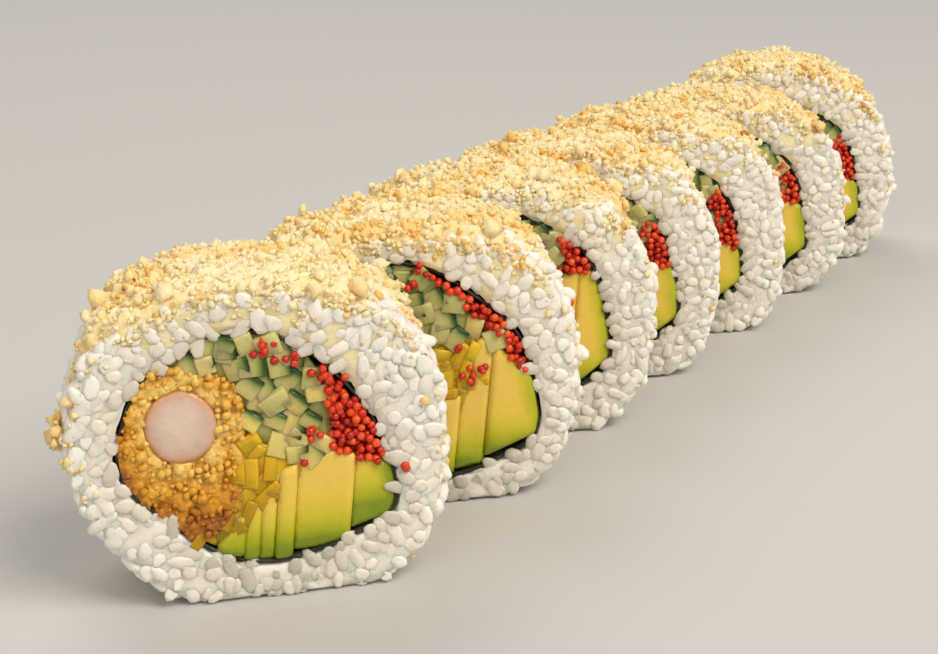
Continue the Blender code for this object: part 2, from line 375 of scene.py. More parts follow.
def random_turns(count, rng):
    """Random rotation matrices."""
    q = rng.normal(size=(count, 4))
    w, x, y, z = (q / np.linalg.norm(q, axis=1)[:, None]).T
    return np.stack([
        np.stack((1 - 2 * (y * y + z * z), 2 * (x * y - z * w), 2 * (x * z + y * w)), 1),
        np.stack((2 * (x * y + z * w), 1 - 2 * (x * x + z * z), 2 * (y * z - x * w)), 1),
        np.stack((2 * (x * z - y * w), 2 * (y * z + x * w), 1 - 2 * (x * x + y * y)), 1),
    ], 1)


def turned_to(long_axis, outward):
    """Rotations whose first column is the long axis and whose third points roughly outwards."""
    first = long_axis / np.linalg.norm(long_axis, axis=1)[:, None]
    second = np.cross(outward, first)
    second /= np.linalg.norm(second, axis=1)[:, None]
    return np.stack((first, second, np.cross(first, second)), 2)


def scattered(templates, pick, centres, turns, sizes):
    """Copies of templates as one mesh, and the number of the copy that each vertex is in."""
    verts, faces, owners, start = [], [], [], 0
    for kind, (shape, triangles) in enumerate(templates):
        chosen = np.flatnonzero(pick == kind)
        copies = np.einsum("nij,nvj->nvi", turns[chosen], shape[None] * sizes[chosen][:, None])
        copies += centres[chosen][:, None]
        index = np.arange(len(chosen))[:, None, None] * len(shape) + triangles[None]
        verts.append(copies.reshape(-1, 3))
        faces.append(index.reshape(-1, 3) + start)
        owners.append(np.repeat(chosen, len(shape)))
        start += len(chosen) * len(shape)
    return np.vstack(verts), np.vstack(faces), np.concatenate(owners)


def reach_along(turns, sizes, direction):
    """How far ellipsoids reach from their middles along directions."""
    return np.sqrt((np.einsum("nij,ni->nj", turns, direction) * sizes) ** 2 @ np.ones(3))


def joined(parts):
    """Several (vertices, faces, attributes) as one."""
    verts, faces, start = [], [], 0
    names = parts[0][2].keys()
    for points, triangles, _ in parts:
        verts.append(points)
        faces.append(triangles + start)
        start += len(points)
    values = {name: np.concatenate([part[2][name] for part in parts]) for name in names}
    return np.vstack(verts), np.vstack(faces), values


def filled(loops, spacing, rng):
    """Points and triangles that fill the area between an outline and its holes, the loops first."""
    boundary = np.vstack(loops)
    edges, start = [], 0
    for loop in loops:
        count = len(loop)
        edges += [(start + k, start + (k + 1) % count) for k in range(count)]
        start += count
    low, high = boundary.min(0), boundary.max(0)
    columns = np.arange(low[0], high[0], spacing)
    rows = np.arange(low[1], high[1], spacing * 0.87)
    grid = np.array([(x + (k % 2) * spacing / 2, y) for k, y in enumerate(rows) for x in columns])
    grid += rng.uniform(-0.18, 0.18, grid.shape) * spacing
    keep = inside(grid, loops[0])
    for hole in loops[1:]:
        keep &= ~inside(grid, hole)
    grid = grid[keep]
    keep = np.ones(len(grid), bool)
    for loop in loops:
        keep &= distance_to(grid, loop) > spacing * 0.55
    points = np.vstack((boundary, grid[keep]))
    result = delaunay_2d_cdt([Vector(p) for p in points], edges, [], 2, 1e-5)
    if len(result[0]) != len(points):
        raise RuntimeError("an outline crosses itself")
    triangles = []
    for a, b, c in result[2]:
        if np.cross(points[b] - points[a], points[c] - points[a]) < 0:
            b, c = c, b
        triangles.append((a, b, c))
    triangles = np.array(triangles)
    middles = points[triangles].mean(1)
    for hole in loops[1:]:
        triangles = triangles[~inside(middles, hole)]
        middles = points[triangles].mean(1)
    return points, triangles


def body(loops, half, spacing, rng, stations=9):
    """A solid between two faces as (across, along, up) points and triangles, with dense faces."""
    flat, triangles = filled(loops, spacing, rng)
    count, rim = len(flat), sum(len(loop) for loop in loops)
    front = np.column_stack((flat[:, 0], np.full(count, -half), flat[:, 1]))
    back = front * (1, -1, 1)
    verts = [front, back]
    faces = [triangles, triangles[:, ::-1] + count]
    rings = [np.arange(rim)]
    start = 2 * count
    for along in np.linspace(-half, half, stations)[1:-1]:
        verts.append(np.column_stack((flat[:rim, 0], np.full(rim, along), flat[:rim, 1])))
        rings.append(np.arange(rim) + start)
        start += rim
    rings.append(np.arange(rim) + count)
    begin = 0
    for number, loop in enumerate(loops):
        here = np.arange(begin, begin + len(loop))
        after = np.roll(here, -1)
        begin += len(loop)
        if number:
            here, after = after, here
        for a, b in zip(rings, rings[1:]):
            faces.append(np.column_stack((a[here], b[here], b[after])))
            faces.append(np.column_stack((a[here], b[after], a[after])))
    return np.vstack(verts), np.vstack(faces)


def vertex_normals(verts, faces):
    """Outward unit normals at the vertices."""
    a, b, c = (verts[faces[:, k]] for k in range(3))
    flat = np.cross(b - a, c - a)
    normals = np.zeros_like(verts)
    for k in range(3):
        np.add.at(normals, faces[:, k], flat)
    return normals / np.maximum(np.linalg.norm(normals, axis=1), 1e-12)[:, None]


def triangle_mesh(name, verts, faces, smooth=True):
    """A mesh of triangles whose points are in metres."""
    mesh = bpy.data.meshes.new(name)
    mesh.vertices.add(len(verts))
    mesh.vertices.foreach_set("co", verts.ravel())
    mesh.loops.add(faces.size)
    mesh.loops.foreach_set("vertex_index", faces.astype(np.int32).ravel())
    mesh.polygons.add(len(faces))
    mesh.polygons.foreach_set("loop_start", np.arange(0, faces.size, 3, dtype=np.int32))
    mesh.polygons.foreach_set("use_smooth", np.full(len(faces), smooth))
    mesh.update(calc_edges=True)
    mesh.validate()
    return mesh


def add_piece(name, axes, parts, material, replaced=(), smooth=True):
    """One named piece made of (vertices, faces, attributes) in a slice's axes, riding on the row."""
    verts, faces, values = joined(parts)
    mesh = triangle_mesh(name, axes.world(verts) * MM, faces, smooth)
    for key, value in values.items():
        attribute = mesh.attributes.new(key, "FLOAT", "POINT")
        attribute.data.foreach_set("value", np.asarray(value, np.float32))
    mesh.materials.append(material)
    piece = bpy.data.objects.new(name, mesh)
    bpy.context.scene.collection.objects.link(piece)
    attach(piece, BODY)
    for node in replaced:
        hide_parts(node)
    return piece


# ---------------------------------------------------------------- materials

class Graph:
    """Adds nodes to a tree, setting or linking their inputs by name."""

    def __init__(self, tree):
        self.tree = tree

    def add(self, kind, inputs=None, **settings):
        """A node with its settings, its inputs given as values or as other nodes' outputs."""
        node = self.tree.nodes.new(kind)
        for key, value in settings.items():
            setattr(node, key, value)
        for key, value in (inputs or {}).items():
            if isinstance(value, bpy.types.NodeSocket):
                self.tree.links.new(value, node.inputs[key])
            else:
                node.inputs[key].default_value = value
        return node

    def attribute(self, name):
        """A value kept on the mesh's points."""
        return self.add("ShaderNodeAttribute", attribute_name=name).outputs["Fac"]

    def ramp(self, value, stops):
        """A colour picked along (position, colour) stops."""
        node = self.add("ShaderNodeValToRGB", {"Fac": value})
        elements = node.color_ramp.elements
        while len(elements) < len(stops):
            elements.new(0.5)
        for element, (position, color) in zip(elements, stops):
            element.position = position
            element.color = (*color, 1.0)
        return node.outputs["Color"]

    def math(self, operation, a, b=0.0, clamp=False):
        """A sum on two values."""
        return self.add(
            "ShaderNodeMath", {0: a, 1: b}, operation=operation, use_clamp=clamp
        ).outputs[0]

    def mix(self, share, a, b, blend="MIX"):
        """A blend of two colours, or their product with blend="MULTIPLY"."""
        node = self.add("ShaderNodeMix", data_type="RGBA", blend_type=blend)
        for key, value in (("Factor", share), ("A", a), ("B", b)):
            sockets = [s for s in node.inputs if s.name == key and s.enabled]
            if isinstance(value, bpy.types.NodeSocket):
                self.tree.links.new(value, sockets[0])
            else:
                sockets[0].default_value = value if key == "Factor" else (*value, 1.0)
        return [s for s in node.outputs if s.enabled][0]


def mottle_group():
    """Uneven colour and relief that every food shares: a blotch mask, a fine mask and a height."""
    tree = bpy.data.node_groups.get("food_mottle")
    if tree:
        return tree
    tree = bpy.data.node_groups.new("food_mottle", "ShaderNodeTree")
    for name, default in (("Blotch Scale", 300.0), ("Grain Scale", 1500.0)):
        socket = tree.interface.new_socket(name, in_out="INPUT", socket_type="NodeSocketFloat")
        socket.default_value = default
    for name in ("Blotch", "Grain", "Height"):
        tree.interface.new_socket(name, in_out="OUTPUT", socket_type="NodeSocketFloat")
    graph = Graph(tree)
    inputs = graph.add("NodeGroupInput")
    place = graph.add("ShaderNodeTexCoord").outputs["Object"]
    blotch = graph.add(
        "ShaderNodeTexNoise", {"Vector": place, "Scale": inputs.outputs["Blotch Scale"], "Detail": 3.0}
    ).outputs["Fac"]
    grain = graph.add(
        "ShaderNodeTexNoise",
        {"Vector": place, "Scale": inputs.outputs["Grain Scale"], "Detail": 4.0, "Roughness": 0.6},
    ).outputs["Fac"]
    pits = graph.add(
        "ShaderNodeTexVoronoi", {"Vector": place, "Scale": inputs.outputs["Grain Scale"]}
    ).outputs["Distance"]
    height = graph.math("ADD", grain, graph.math("MULTIPLY", pits, -0.5))
    outputs = graph.add("NodeGroupOutput")
    for name, value in (("Blotch", blotch), ("Grain", grain), ("Height", height)):
        tree.links.new(value, outputs.inputs[name])
    return tree


def food_material(name, build, **constants):
    """A Principled material: build(graph, mottle) gives its colour, roughness and relief."""
    material = bpy.data.materials.get(name)
    if material:
        return material
    material = bpy.data.materials.new(name)
    material.use_nodes = True
    tree = material.node_tree
    graph = Graph(tree)
    shader = tree.nodes["Principled BSDF"]
    for key, value in constants.items():
        shader.inputs[key.replace("_", " ")].default_value = value
    mottle = graph.add("ShaderNodeGroup", node_tree=mottle_group())
    color, roughness, height, depth = build(graph, mottle)
    tree.links.new(color, shader.inputs["Base Color"])
    if roughness is not None:
        tree.links.new(roughness, shader.inputs["Roughness"])
    if height is not None:
        bump = graph.add("ShaderNodeBump", {"Height": height, "Strength": 1.0, "Distance": depth})
        tree.links.new(bump.outputs["Normal"], shader.inputs["Normal"])
    return material


def ranged(graph, value, low, high):
    """A 0 to 1 value stretched to a range."""
    return graph.add(
        "ShaderNodeMapRange", {"Value": value, "To Min": low, "To Max": high}
    ).outputs["Result"]


def rice_white(graph, mottle):
    """The white of moist rice, from grey by the nori to creamy, with faint blotches; the grey is painted shade, used
    by the nori, near the floor and in the bed's seams.
    """
    # Low tones paint shade: grey by the nori, near the floor and in the bed's seams.
    white = graph.ramp(graph.attribute("tone"), (
        (0.0, (0.58, 0.545, 0.47)), (0.3, (0.84, 0.79, 0.68)), (0.7, (0.95, 0.90, 0.80)),
        (1.0, (0.99, 0.95, 0.87)),
    ))
    shade = graph.ramp(mottle.outputs["Blotch"], ((0.3, (0.93, 0.91, 0.87)), (0.7, (1.0, 1.0, 1.0))))
    return graph.mix(1.0, white, shade, "MULTIPLY")


def rice_material():
    """Single moist grains with painted light: whiter towards their outlines as the camera sees them, a painted glow,
    and a little darker where they face it.
    """
    def build(graph, mottle):
        mottle.inputs["Blotch Scale"].default_value = 260.0
        mottle.inputs["Grain Scale"].default_value = 1400.0
        white = rice_white(graph, mottle)
        # Painted light: grains 7% darker where they face the camera, full white towards their outlines.
        facing = graph.add("ShaderNodeLayerWeight", {"Blend": 0.35}).outputs["Facing"]
        core = graph.mix(1.0, white, (0.93, 0.93, 0.92), "MULTIPLY")
        color = graph.mix(graph.math("MULTIPLY", facing, 1.6, clamp=True), core, white)
        roughness = ranged(graph, mottle.outputs["Grain"], 0.32, 0.5)
        return color, roughness, mottle.outputs["Height"], 0.00008
    return food_material(
        "moist_rice", build, Subsurface_Weight=0.28, Subsurface_Radius=(1.0, 0.92, 0.82),
        Subsurface_Scale=0.0008, IOR=1.4, Coat_Weight=0.15, Coat_Roughness=0.25,
    )


def crumb_material():
    """Fried tempura crumbs, from pale cream to deep gold."""
    def build(graph, mottle):
        mottle.inputs["Blotch Scale"].default_value = 500.0
        mottle.inputs["Grain Scale"].default_value = 2600.0
        tone = graph.math("ADD", graph.attribute("tone"),
                          graph.math("MULTIPLY", graph.math("SUBTRACT", mottle.outputs["Grain"], 0.5), 0.35))
        color = graph.ramp(tone, (
            (0.0, (0.98, 0.83, 0.53)), (0.35, (0.96, 0.73, 0.35)), (0.62, (0.91, 0.56, 0.16)),
            (0.85, (0.76, 0.36, 0.06)), (1.0, (0.36, 0.13, 0.02)),
        ))
        roughness = ranged(graph, mottle.outputs["Blotch"], 0.40, 0.62)
        return color, roughness, mottle.outputs["Height"], 0.00012
    return food_material(
        "fried_crumb", build, Subsurface_Weight=0.35, Subsurface_Radius=(1.0, 0.75, 0.4),
        Subsurface_Scale=0.0008, IOR=1.45,
    )


def nori_material():
    """Moist seaweed: green-black, faintly ribbed."""
    def build(graph, mottle):
        mottle.inputs["Blotch Scale"].default_value = 400.0
        mottle.inputs["Grain Scale"].default_value = 1800.0
        color = graph.ramp(mottle.outputs["Blotch"], (
            (0.3, (0.008, 0.012, 0.008)), (0.7, (0.030, 0.038, 0.016)),
        ))
        return color, ranged(graph, mottle.outputs["Grain"], 0.25, 0.5), mottle.outputs["Height"], 0.0001
    return food_material("moist_nori", build, IOR=1.45)


def prawn_material():
    """Cooked prawn: pale in the middle, pinker towards its edge."""
    def build(graph, mottle):
        mottle.inputs["Blotch Scale"].default_value = 350.0
        mottle.inputs["Grain Scale"].default_value = 1300.0
        edge = graph.math("ADD", graph.attribute("tone"),
                          graph.math("MULTIPLY", graph.math("SUBTRACT", mottle.outputs["Blotch"], 0.5), 0.3))
        color = graph.ramp(edge, (
            (0.0, (0.72, 0.57, 0.48)), (0.4, (0.66, 0.48, 0.38)), (0.8, (0.66, 0.38, 0.23)),
            (1.0, (0.66, 0.28, 0.08)),
        ))
        return color, ranged(graph, mottle.outputs["Grain"], 0.25, 0.4), mottle.outputs["Height"], 0.00008
    return food_material(
        "cooked_prawn", build, Subsurface_Weight=0.5, Subsurface_Radius=(1.0, 0.6, 0.5),
        Subsurface_Scale=0.002, IOR=1.4, Coat_Weight=0.3, Coat_Roughness=0.2,
    )


def batter_material():
    """Fried batter: creamy gold near the prawn, amber brown outside."""
    def build(graph, mottle):
        mottle.inputs["Blotch Scale"].default_value = 450.0
        mottle.inputs["Grain Scale"].default_value = 1600.0
        tone = graph.math("ADD", graph.attribute("tone"),
                          graph.math("MULTIPLY", graph.math("SUBTRACT", mottle.outputs["Blotch"], 0.5), 0.5))
        color = graph.ramp(tone, (
            (0.0, (0.88, 0.58, 0.15)), (0.3, (0.78, 0.42, 0.05)), (0.6, (0.70, 0.31, 0.012)),
            (1.0, (0.38, 0.12, 0.004)),
        ))
        return color, ranged(graph, mottle.outputs["Grain"], 0.25, 0.5), mottle.outputs["Height"], 0.0002
    return food_material(
        "fried_batter", build, Subsurface_Weight=0.2, Subsurface_Radius=(1.0, 0.6, 0.25),
        Subsurface_Scale=0.0009, IOR=1.45, Coat_Weight=0.22, Coat_Roughness=0.2,
    )


def cucumber_material():
    """Wet cucumber: pale translucent flesh with a dark green skin on one side."""
    def build(graph, mottle):
        mottle.inputs["Blotch Scale"].default_value = 380.0
        mottle.inputs["Grain Scale"].default_value = 1500.0
        flesh = graph.ramp(graph.attribute("tone"), (
            (0.0, (0.80, 0.62, 0.16)), (0.4, (0.60, 0.55, 0.20)), (1.0, (0.40, 0.42, 0.13)),
        ))
        skin = graph.math("ADD", graph.attribute("skin"),
                          graph.math("MULTIPLY", graph.math("SUBTRACT", mottle.outputs["Blotch"], 0.5), 0.12))
        green = graph.ramp(skin, ((0.6, (0.22, 0.30, 0.06)), (0.92, (0.02, 0.06, 0.008))))
        share = graph.ramp(skin, ((0.35, (0.0, 0.0, 0.0)), (0.85, (1.0, 1.0, 1.0))))
        color = graph.mix(share, flesh, green)
        return color, ranged(graph, mottle.outputs["Grain"], 0.12, 0.3), mottle.outputs["Height"], 0.00008
    return food_material(
        "wet_cucumber", build, Subsurface_Weight=0.5, Subsurface_Radius=(0.7, 1.0, 0.4),
        Subsurface_Scale=0.0022, IOR=1.35, Coat_Weight=0.3, Coat_Roughness=0.15,
    )


def roe_material():
    """Fish roe: glossy red-orange beads."""
    def build(graph, mottle):
        mottle.inputs["Blotch Scale"].default_value = 700.0
        mottle.inputs["Grain Scale"].default_value = 1500.0
        tone = graph.math("ADD", graph.attribute("tone"),
                          graph.math("MULTIPLY", graph.math("SUBTRACT", mottle.outputs["Blotch"], 0.5), 0.3))
        color = graph.ramp(tone, (
            (0.0, (0.34, 0.008, 0.004)), (0.5, (0.68, 0.030, 0.006)), (1.0, (0.90, 0.13, 0.02)),
        ))
        return color, None, None, 0.0
    return food_material(
        "fish_roe", build, Roughness=0.12, Subsurface_Weight=0.35, Subsurface_Radius=(1.0, 0.25, 0.1),
        Subsurface_Scale=0.0008, IOR=1.4, Coat_Weight=0.35, Coat_Roughness=0.05,
    )


def pickle_material():
    """Pickled radish: wet translucent amber, olive in places."""
    def build(graph, mottle):
        mottle.inputs["Blotch Scale"].default_value = 300.0
        mottle.inputs["Grain Scale"].default_value = 1300.0
        tone = graph.math("ADD", graph.attribute("tone"),
                          graph.math("MULTIPLY", graph.math("SUBTRACT", mottle.outputs["Blotch"], 0.5), 0.4))
        color = graph.ramp(tone, (
            (0.0, (0.82, 0.50, 0.016)), (0.5, (0.70, 0.36, 0.006)), (1.0, (0.32, 0.20, 0.005)),
        ))
        return color, ranged(graph, mottle.outputs["Grain"], 0.12, 0.3), mottle.outputs["Height"], 0.0001
    return food_material(
        "pickled_radish", build, Subsurface_Weight=0.5, Subsurface_Radius=(1.0, 0.7, 0.15),
        Subsurface_Scale=0.0024, IOR=1.37, Coat_Weight=0.2, Coat_Roughness=0.12,
    )


def avocado_material():
    """Ripe avocado: buttery yellow, turning green towards the skin side."""
    def build(graph, mottle):
        mottle.inputs["Blotch Scale"].default_value = 240.0
        mottle.inputs["Grain Scale"].default_value = 1200.0
        tone = graph.math("ADD", graph.attribute("tone"),
                          graph.math("MULTIPLY", graph.math("SUBTRACT", mottle.outputs["Blotch"], 0.5), 0.16))
        color = graph.ramp(tone, (
            (0.0, (0.84, 0.58, 0.11)), (0.42, (0.80, 0.58, 0.075)), (0.68, (0.60, 0.52, 0.025)),
            (0.88, (0.38, 0.41, 0.006)), (1.0, (0.20, 0.27, 0.005)),
        ))
        return color, ranged(graph, mottle.outputs["Grain"], 0.25, 0.45), mottle.outputs["Height"], 0.00006
    return food_material(
        "ripe_avocado", build, Subsurface_Weight=0.4, Subsurface_Radius=(1.0, 0.8, 0.25),
        Subsurface_Scale=0.0016, IOR=1.42, Coat_Weight=0.15, Coat_Roughness=0.25,
    )


# ---------------------------------------------------------------- settings

class RiceSettings(bpy.types.PropertyGroup):
    """Sizes of the rice grains, in metres."""

    length: FloatProperty(name="Grain length", description="Length of a cooked grain",
                          default=0.0047, unit="LENGTH")
    width: FloatProperty(name="Grain width", description="Width of a cooked grain",
                         default=0.0024, unit="LENGTH")
    spacing: FloatProperty(name="Spacing", description="Distance between neighbouring grains",
                           default=0.00138, unit="LENGTH")
    bed_depth: FloatProperty(name="Bed depth", description="How far the bed lies under the grains",
                             default=0.00045, unit="LENGTH")


class CrumbSettings(bpy.types.PropertyGroup):
    """Sizes of the fried crumbs, in metres."""

    size: FloatProperty(name="Crumb size", description="Size of a common crumb",
                        default=0.00074, unit="LENGTH")
    spacing: FloatProperty(name="Spacing", description="Distance between crumbs where they are dense",
                           default=0.00086, unit="LENGTH")


class FillingSettings(bpy.types.PropertyGroup):
    """Sizes of the filling's pieces, in metres."""

    strip: FloatProperty(name="Cucumber strip", description="Width of a cucumber strip",
                         default=0.0029, unit="LENGTH")
    bead: FloatProperty(name="Roe bead", description="Diameter of a bead of roe",
                        default=0.00108, unit="LENGTH")
    face_spacing: FloatProperty(name="Face spacing", description="Spacing of points on cut faces",
                                default=0.0005, unit="LENGTH")


class StageSettings(bpy.types.PropertyGroup):
    """The floor, the lights and the camera."""

    floor_color: FloatVectorProperty(name="Floor", description="Colour of the plain floor",
                                     default=(0.58, 0.58, 0.57), subtype="COLOR", size=3)
    camera_distance: FloatVectorProperty(
        name="Camera place", description="Where the camera stands, from the middle of the row's base",
        default=(-0.2533, -0.1342, 0.0924), subtype="TRANSLATION", size=3)
    heading: FloatProperty(name="Heading", description="Direction the camera looks in, from +X",
                           default=math.radians(31.16), subtype="ANGLE")
    pitch: FloatProperty(name="Pitch", description="How far the camera looks down",
                         default=math.radians(16.34), subtype="ANGLE")
    roll: FloatProperty(name="Roll", description="How far the camera is turned about its own axis",
                        default=math.radians(-3.2), subtype="ANGLE")
    lens: FloatProperty(name="Lens", description="Focal length on a 36 mm sensor, in millimetres",
                        default=69.12)


def slices():
    """The axes of every slice in the row."""
    return [SliceAxes(number) for number in range(1, SLICE_COUNT + 1)]


def grain_shapes(rng, segments, rings, count=4):
    """Rice grains a little bent and uneven, as unit shapes."""
    shapes = []
    for number in range(count):
        verts, faces = ball(segments, rings)
        verts = verts[:, [2, 0, 1]]
        verts[:, 2] += rng.uniform(-0.25, 0.25) * verts[:, 0] ** 2
        verts *= 1 + 0.16 * (soft_noise(verts, 0.8, 40 + number) - 0.5)[:, None]
        verts[:, 1:] *= 1 + 0.14 * verts[:, :1] * rng.uniform(-1, 1)
        shapes.append((verts, faces))
    return shapes


def rice_bed(axes, ring, depth):
    """The packed rice under the loose grains, as a lumpy ring."""
    angle_steps, half = 130, axes.half - FACE_BED_DEPTH
    hole = smoothed(resampled(ring.hole, 0.8), 1)
    hole_turn = np.arctan2(hole[:, 1] - ring.middle[1], hole[:, 0])
    hole_reach = np.hypot(hole[:, 0], hole[:, 1] - ring.middle[1])
    order = np.argsort(hole_turn)
    angle = np.linspace(-math.pi, math.pi, angle_steps, endpoint=False)
    inner = np.interp(angle, hole_turn[order], hole_reach[order], period=2 * math.pi)
    rows = []
    across_steps, along_steps = 5, 9
    for side in (-1, 1):
        steps = np.linspace(0, 1, across_steps)
        if side > 0:
            steps = steps[::-1]
        for share in steps:
            outer = ring.reach_at(angle, np.full(angle_steps, side * axes.half)) - depth * 0.5
            reach = inner + (outer - inner) * share
            rows.append((reach, side * half))
        if side < 0:
            for along in np.linspace(-half, half, along_steps)[1:-1]:
                rows.append((ring.reach_at(angle, np.full(angle_steps, along)) - depth, along))
    for along in np.linspace(half, -half, 6)[1:-1]:
        rows.append((inner, along))
    verts = np.vstack([
        np.column_stack((
            ring.middle[0] + reach * np.cos(angle), np.full(angle_steps, along),
            ring.middle[1] + reach * np.sin(angle),
        )) for reach, along in rows
    ])
    count = len(rows)
    faces = []
    here = np.arange(angle_steps)
    after = np.roll(here, -1)
    for row in range(count):
        a, b = row * angle_steps, ((row + 1) % count) * angle_steps
        faces.append(np.column_stack((a + here, a + after, b + after)))
        faces.append(np.column_stack((a + here, b + after, b + here)))
    faces = np.vstack(faces)
    normals = vertex_normals(verts, faces)
    centre = np.array((0.0, 0.0, ring.middle[1]))
    if (normals * (verts - centre)).sum() < 0:
        faces = faces[:, ::-1]
        normals = -normals
    bump = lumps(verts, 2.7, 70 + axes.number)
    verts = verts + normals * ((bump - 0.75) * 0.4)[:, None]
    verts[:, 2] = np.maximum(verts[:, 2], 0.5)
    # Painted shade: the bed's tone, and so its whiteness, drops in the sunken seams between its lumps.
    return verts, faces, {"tone": 0.25 + 0.4 * bump, "crumb": crumb_cover(ring, verts)}


def crumb_cover(ring, points):
    """How thickly crumbs cover a place on the slice, from 0 below to 1 on top."""
    turn = np.degrees(np.arctan2(points[:, 2] - ring.middle[1], points[:, 0]))
    lean = np.where(turn < -90, turn + 360, turn) - 90
    edge = 64 + 26 * (soft_noise(points, 6.0, 5) - 0.5) * 2
    return np.clip((edge - np.abs(lean)) / 14, 0, 1)


def face_grains(axes, ring, side, settings, shapes, rng):
    """Grains cut through on one face, packed edge to edge."""
    turn = ring.ANGLES[:-1]
    reach = ring.reach_at(turn, np.full(len(turn), side * axes.half))
    outer = ring.middle + reach[:, None] * np.column_stack((np.cos(turn), np.sin(turn)))
    hole = grown(resampled(ring.hole, 1.0), -0.05)
    rim = grown(outer, -0.35)

    def between(points):
        return inside(points, rim) & ~inside(points, hole)

    spots = spread_points(outer.min(0), outer.max(0), settings.spacing / MM, 6500, rng, between)
    count = len(spots)
    way = rng.uniform(0, 2 * math.pi, count)
    tilt = rng.uniform(0.15, 1.25, count)
    outward = np.tile((0.0, side, 0.0), (count, 1)).astype(float)
    flat = np.column_stack((np.cos(way), np.zeros(count), np.sin(way)))
    long_axis = flat * np.cos(tilt)[:, None] + outward * np.sin(tilt)[:, None]
    turns = turned_to(long_axis, flat[:, [2, 1, 0]] * (1, 0, -1) + outward * 0.1)
    width = settings.width / MM / 2
    sizes = np.column_stack((
        settings.length / MM / 2 * rng.uniform(0.60, 1.05, count),
        width * rng.uniform(0.74, 1.05, count),
        width * rng.uniform(0.70, 1.0, count),
    ))
    cut = axes.half + rng.uniform(-0.16, 0.12, count)
    depth = reach_along(turns, sizes, outward)
    centres = np.column_stack((spots[:, 0], side * (cut + depth * rng.uniform(-0.60, -0.15, count)), spots[:, 1]))
    verts, faces, values, owner = grains_mesh(ring, centres, turns, sizes, shapes, rng)
    past = np.maximum(side * verts[:, 1] - cut[owner], 0)
    verts[:, 1] -= side * past * 0.92
    return verts, faces, values


def grains_mesh(ring, centres, turns, sizes, shapes, rng):
    """Grains as one mesh, clear of the floor, with painted shade: greyer near the nori and darker towards the floor.
    """
    count = len(centres)
    down = reach_along(turns, sizes, np.tile((0.0, 0.0, 1.0), (count, 1)))
    centres[:, 2] = np.maximum(centres[:, 2], down * 1.05)
    pick = rng.integers(0, len(shapes), count)
    verts, faces, owner = scattered(shapes, pick, centres, turns, sizes)
    verts[:, 2] = np.maximum(verts[:, 2], 0.0)
    # Painted shade: grains greyer the nearer they lie to the nori.
    near = distance_to(centres[:, [0, 2]], resampled(ring.hole, 2.0))
    # Painted shade: grains darker within 7 mm of the floor, not moisture.
    damp = np.clip((7.0 - centres[:, 2]) / 7.0, 0, 1) * 0.65
    tone = np.clip(0.15 + near * 0.22 - damp + rng.uniform(-0.09, 0.09, count), 0, 1)
    return verts, faces, {"tone": tone[owner]}, owner


def side_grains(axes, ring, settings, shapes, rng):
    """Grains that lie on the outer side, a few of them standing up out of it."""
    reach = float(ring.reach.mean())
    spacing = settings.spacing / MM * 1.25
    low = np.array((-math.pi * reach, -axes.half + 1.2))
    spots = spread_points(low, -low, spacing, 9000, rng, lambda points: np.ones(len(points), bool))
    points, outward, tangent = ring.surface(spots[:, 0] / reach, spots[:, 1])
    bare = crumb_cover(ring, points) < 0.85
    points, outward, tangent = points[bare], outward[bare], tangent[bare]
    count = len(points)
    way = rng.uniform(0, 2 * math.pi, count)
    stands = rng.random(count) < 0.07
    tilt = np.where(stands, rng.uniform(0.4, 1.0, count), rng.uniform(-0.35, 0.35, count))
    lying = tangent * np.cos(way)[:, None] + np.array((0.0, 1.0, 0.0)) * np.sin(way)[:, None]
    turns = turned_to(lying * np.cos(tilt)[:, None] + outward * np.sin(tilt)[:, None], outward)
    width = settings.width / MM / 2
    sizes = np.column_stack((
        settings.length / MM / 2 * rng.uniform(0.85, 1.1, count),
        width * rng.uniform(0.85, 1.08, count),
        width * rng.uniform(0.75, 0.95, count),
    ))
    proud = np.where(stands, rng.uniform(0.4, 1.1, count), rng.uniform(-0.45, 0.2, count))
    centres = points - outward * (reach_along(turns, sizes, outward) - proud)[:, None]
    limit = axes.half - reach_along(turns, sizes, np.tile((0.0, 1.0, 0.0), (count, 1)))
    centres[:, 1] = np.clip(centres[:, 1], -limit, limit)
    return grains_mesh(ring, centres, turns, sizes, shapes, rng)[:3]


class URAMAKI_OT_rice(bpy.types.Operator):
    """Packs each slice's ring with rice grains over a lumpy bed"""

    bl_idname = "uramaki.rice"
    bl_label = "Rice"

    def execute(self, context):
        settings = context.scene.uramaki_rice
        for axes in slices():
            rng = np.random.default_rng(1000 + axes.number)
            ring = RiceRing(axes)
            shapes = grain_shapes(rng, *((8, 5) if axes.number < 3 else (7, 4)))
            bed = rice_bed(axes, ring, settings.bed_depth / MM)
            add_piece(f"rice_bed_{axes.number}", axes, [bed], bed_material(),
                      (f"rice_{axes.number}",))
            parts = [face_grains(axes, ring, side, settings, shapes, rng) for side in FACES]
            parts.append(side_grains(axes, ring, settings, shapes, rng))
            add_piece(f"rice_grains_{axes.number}", axes, parts, rice_material())
        return {"FINISHED"}


def bed_material():
    """Grains stuck together, turning to crumb crust towards the top."""
    def build(graph, mottle):
        mottle.inputs["Blotch Scale"].default_value = 300.0
        mottle.inputs["Grain Scale"].default_value = 1400.0
        crust = graph.ramp(mottle.outputs["Blotch"], (
            (0.3, (0.94, 0.72, 0.36)), (0.6, (0.96, 0.82, 0.52)),
        ))
        color = graph.mix(graph.attribute("crumb"), rice_white(graph, mottle), crust)
        roughness = ranged(graph, mottle.outputs["Grain"], 0.26, 0.45)
        return color, roughness, mottle.outputs["Height"], 0.00012
    return food_material(
        "rice_bed", build, Subsurface_Weight=0.8, Subsurface_Radius=(1.0, 0.92, 0.80),
        Subsurface_Scale=0.0016, IOR=1.4, Coat_Weight=0.3, Coat_Roughness=0.2,
    )


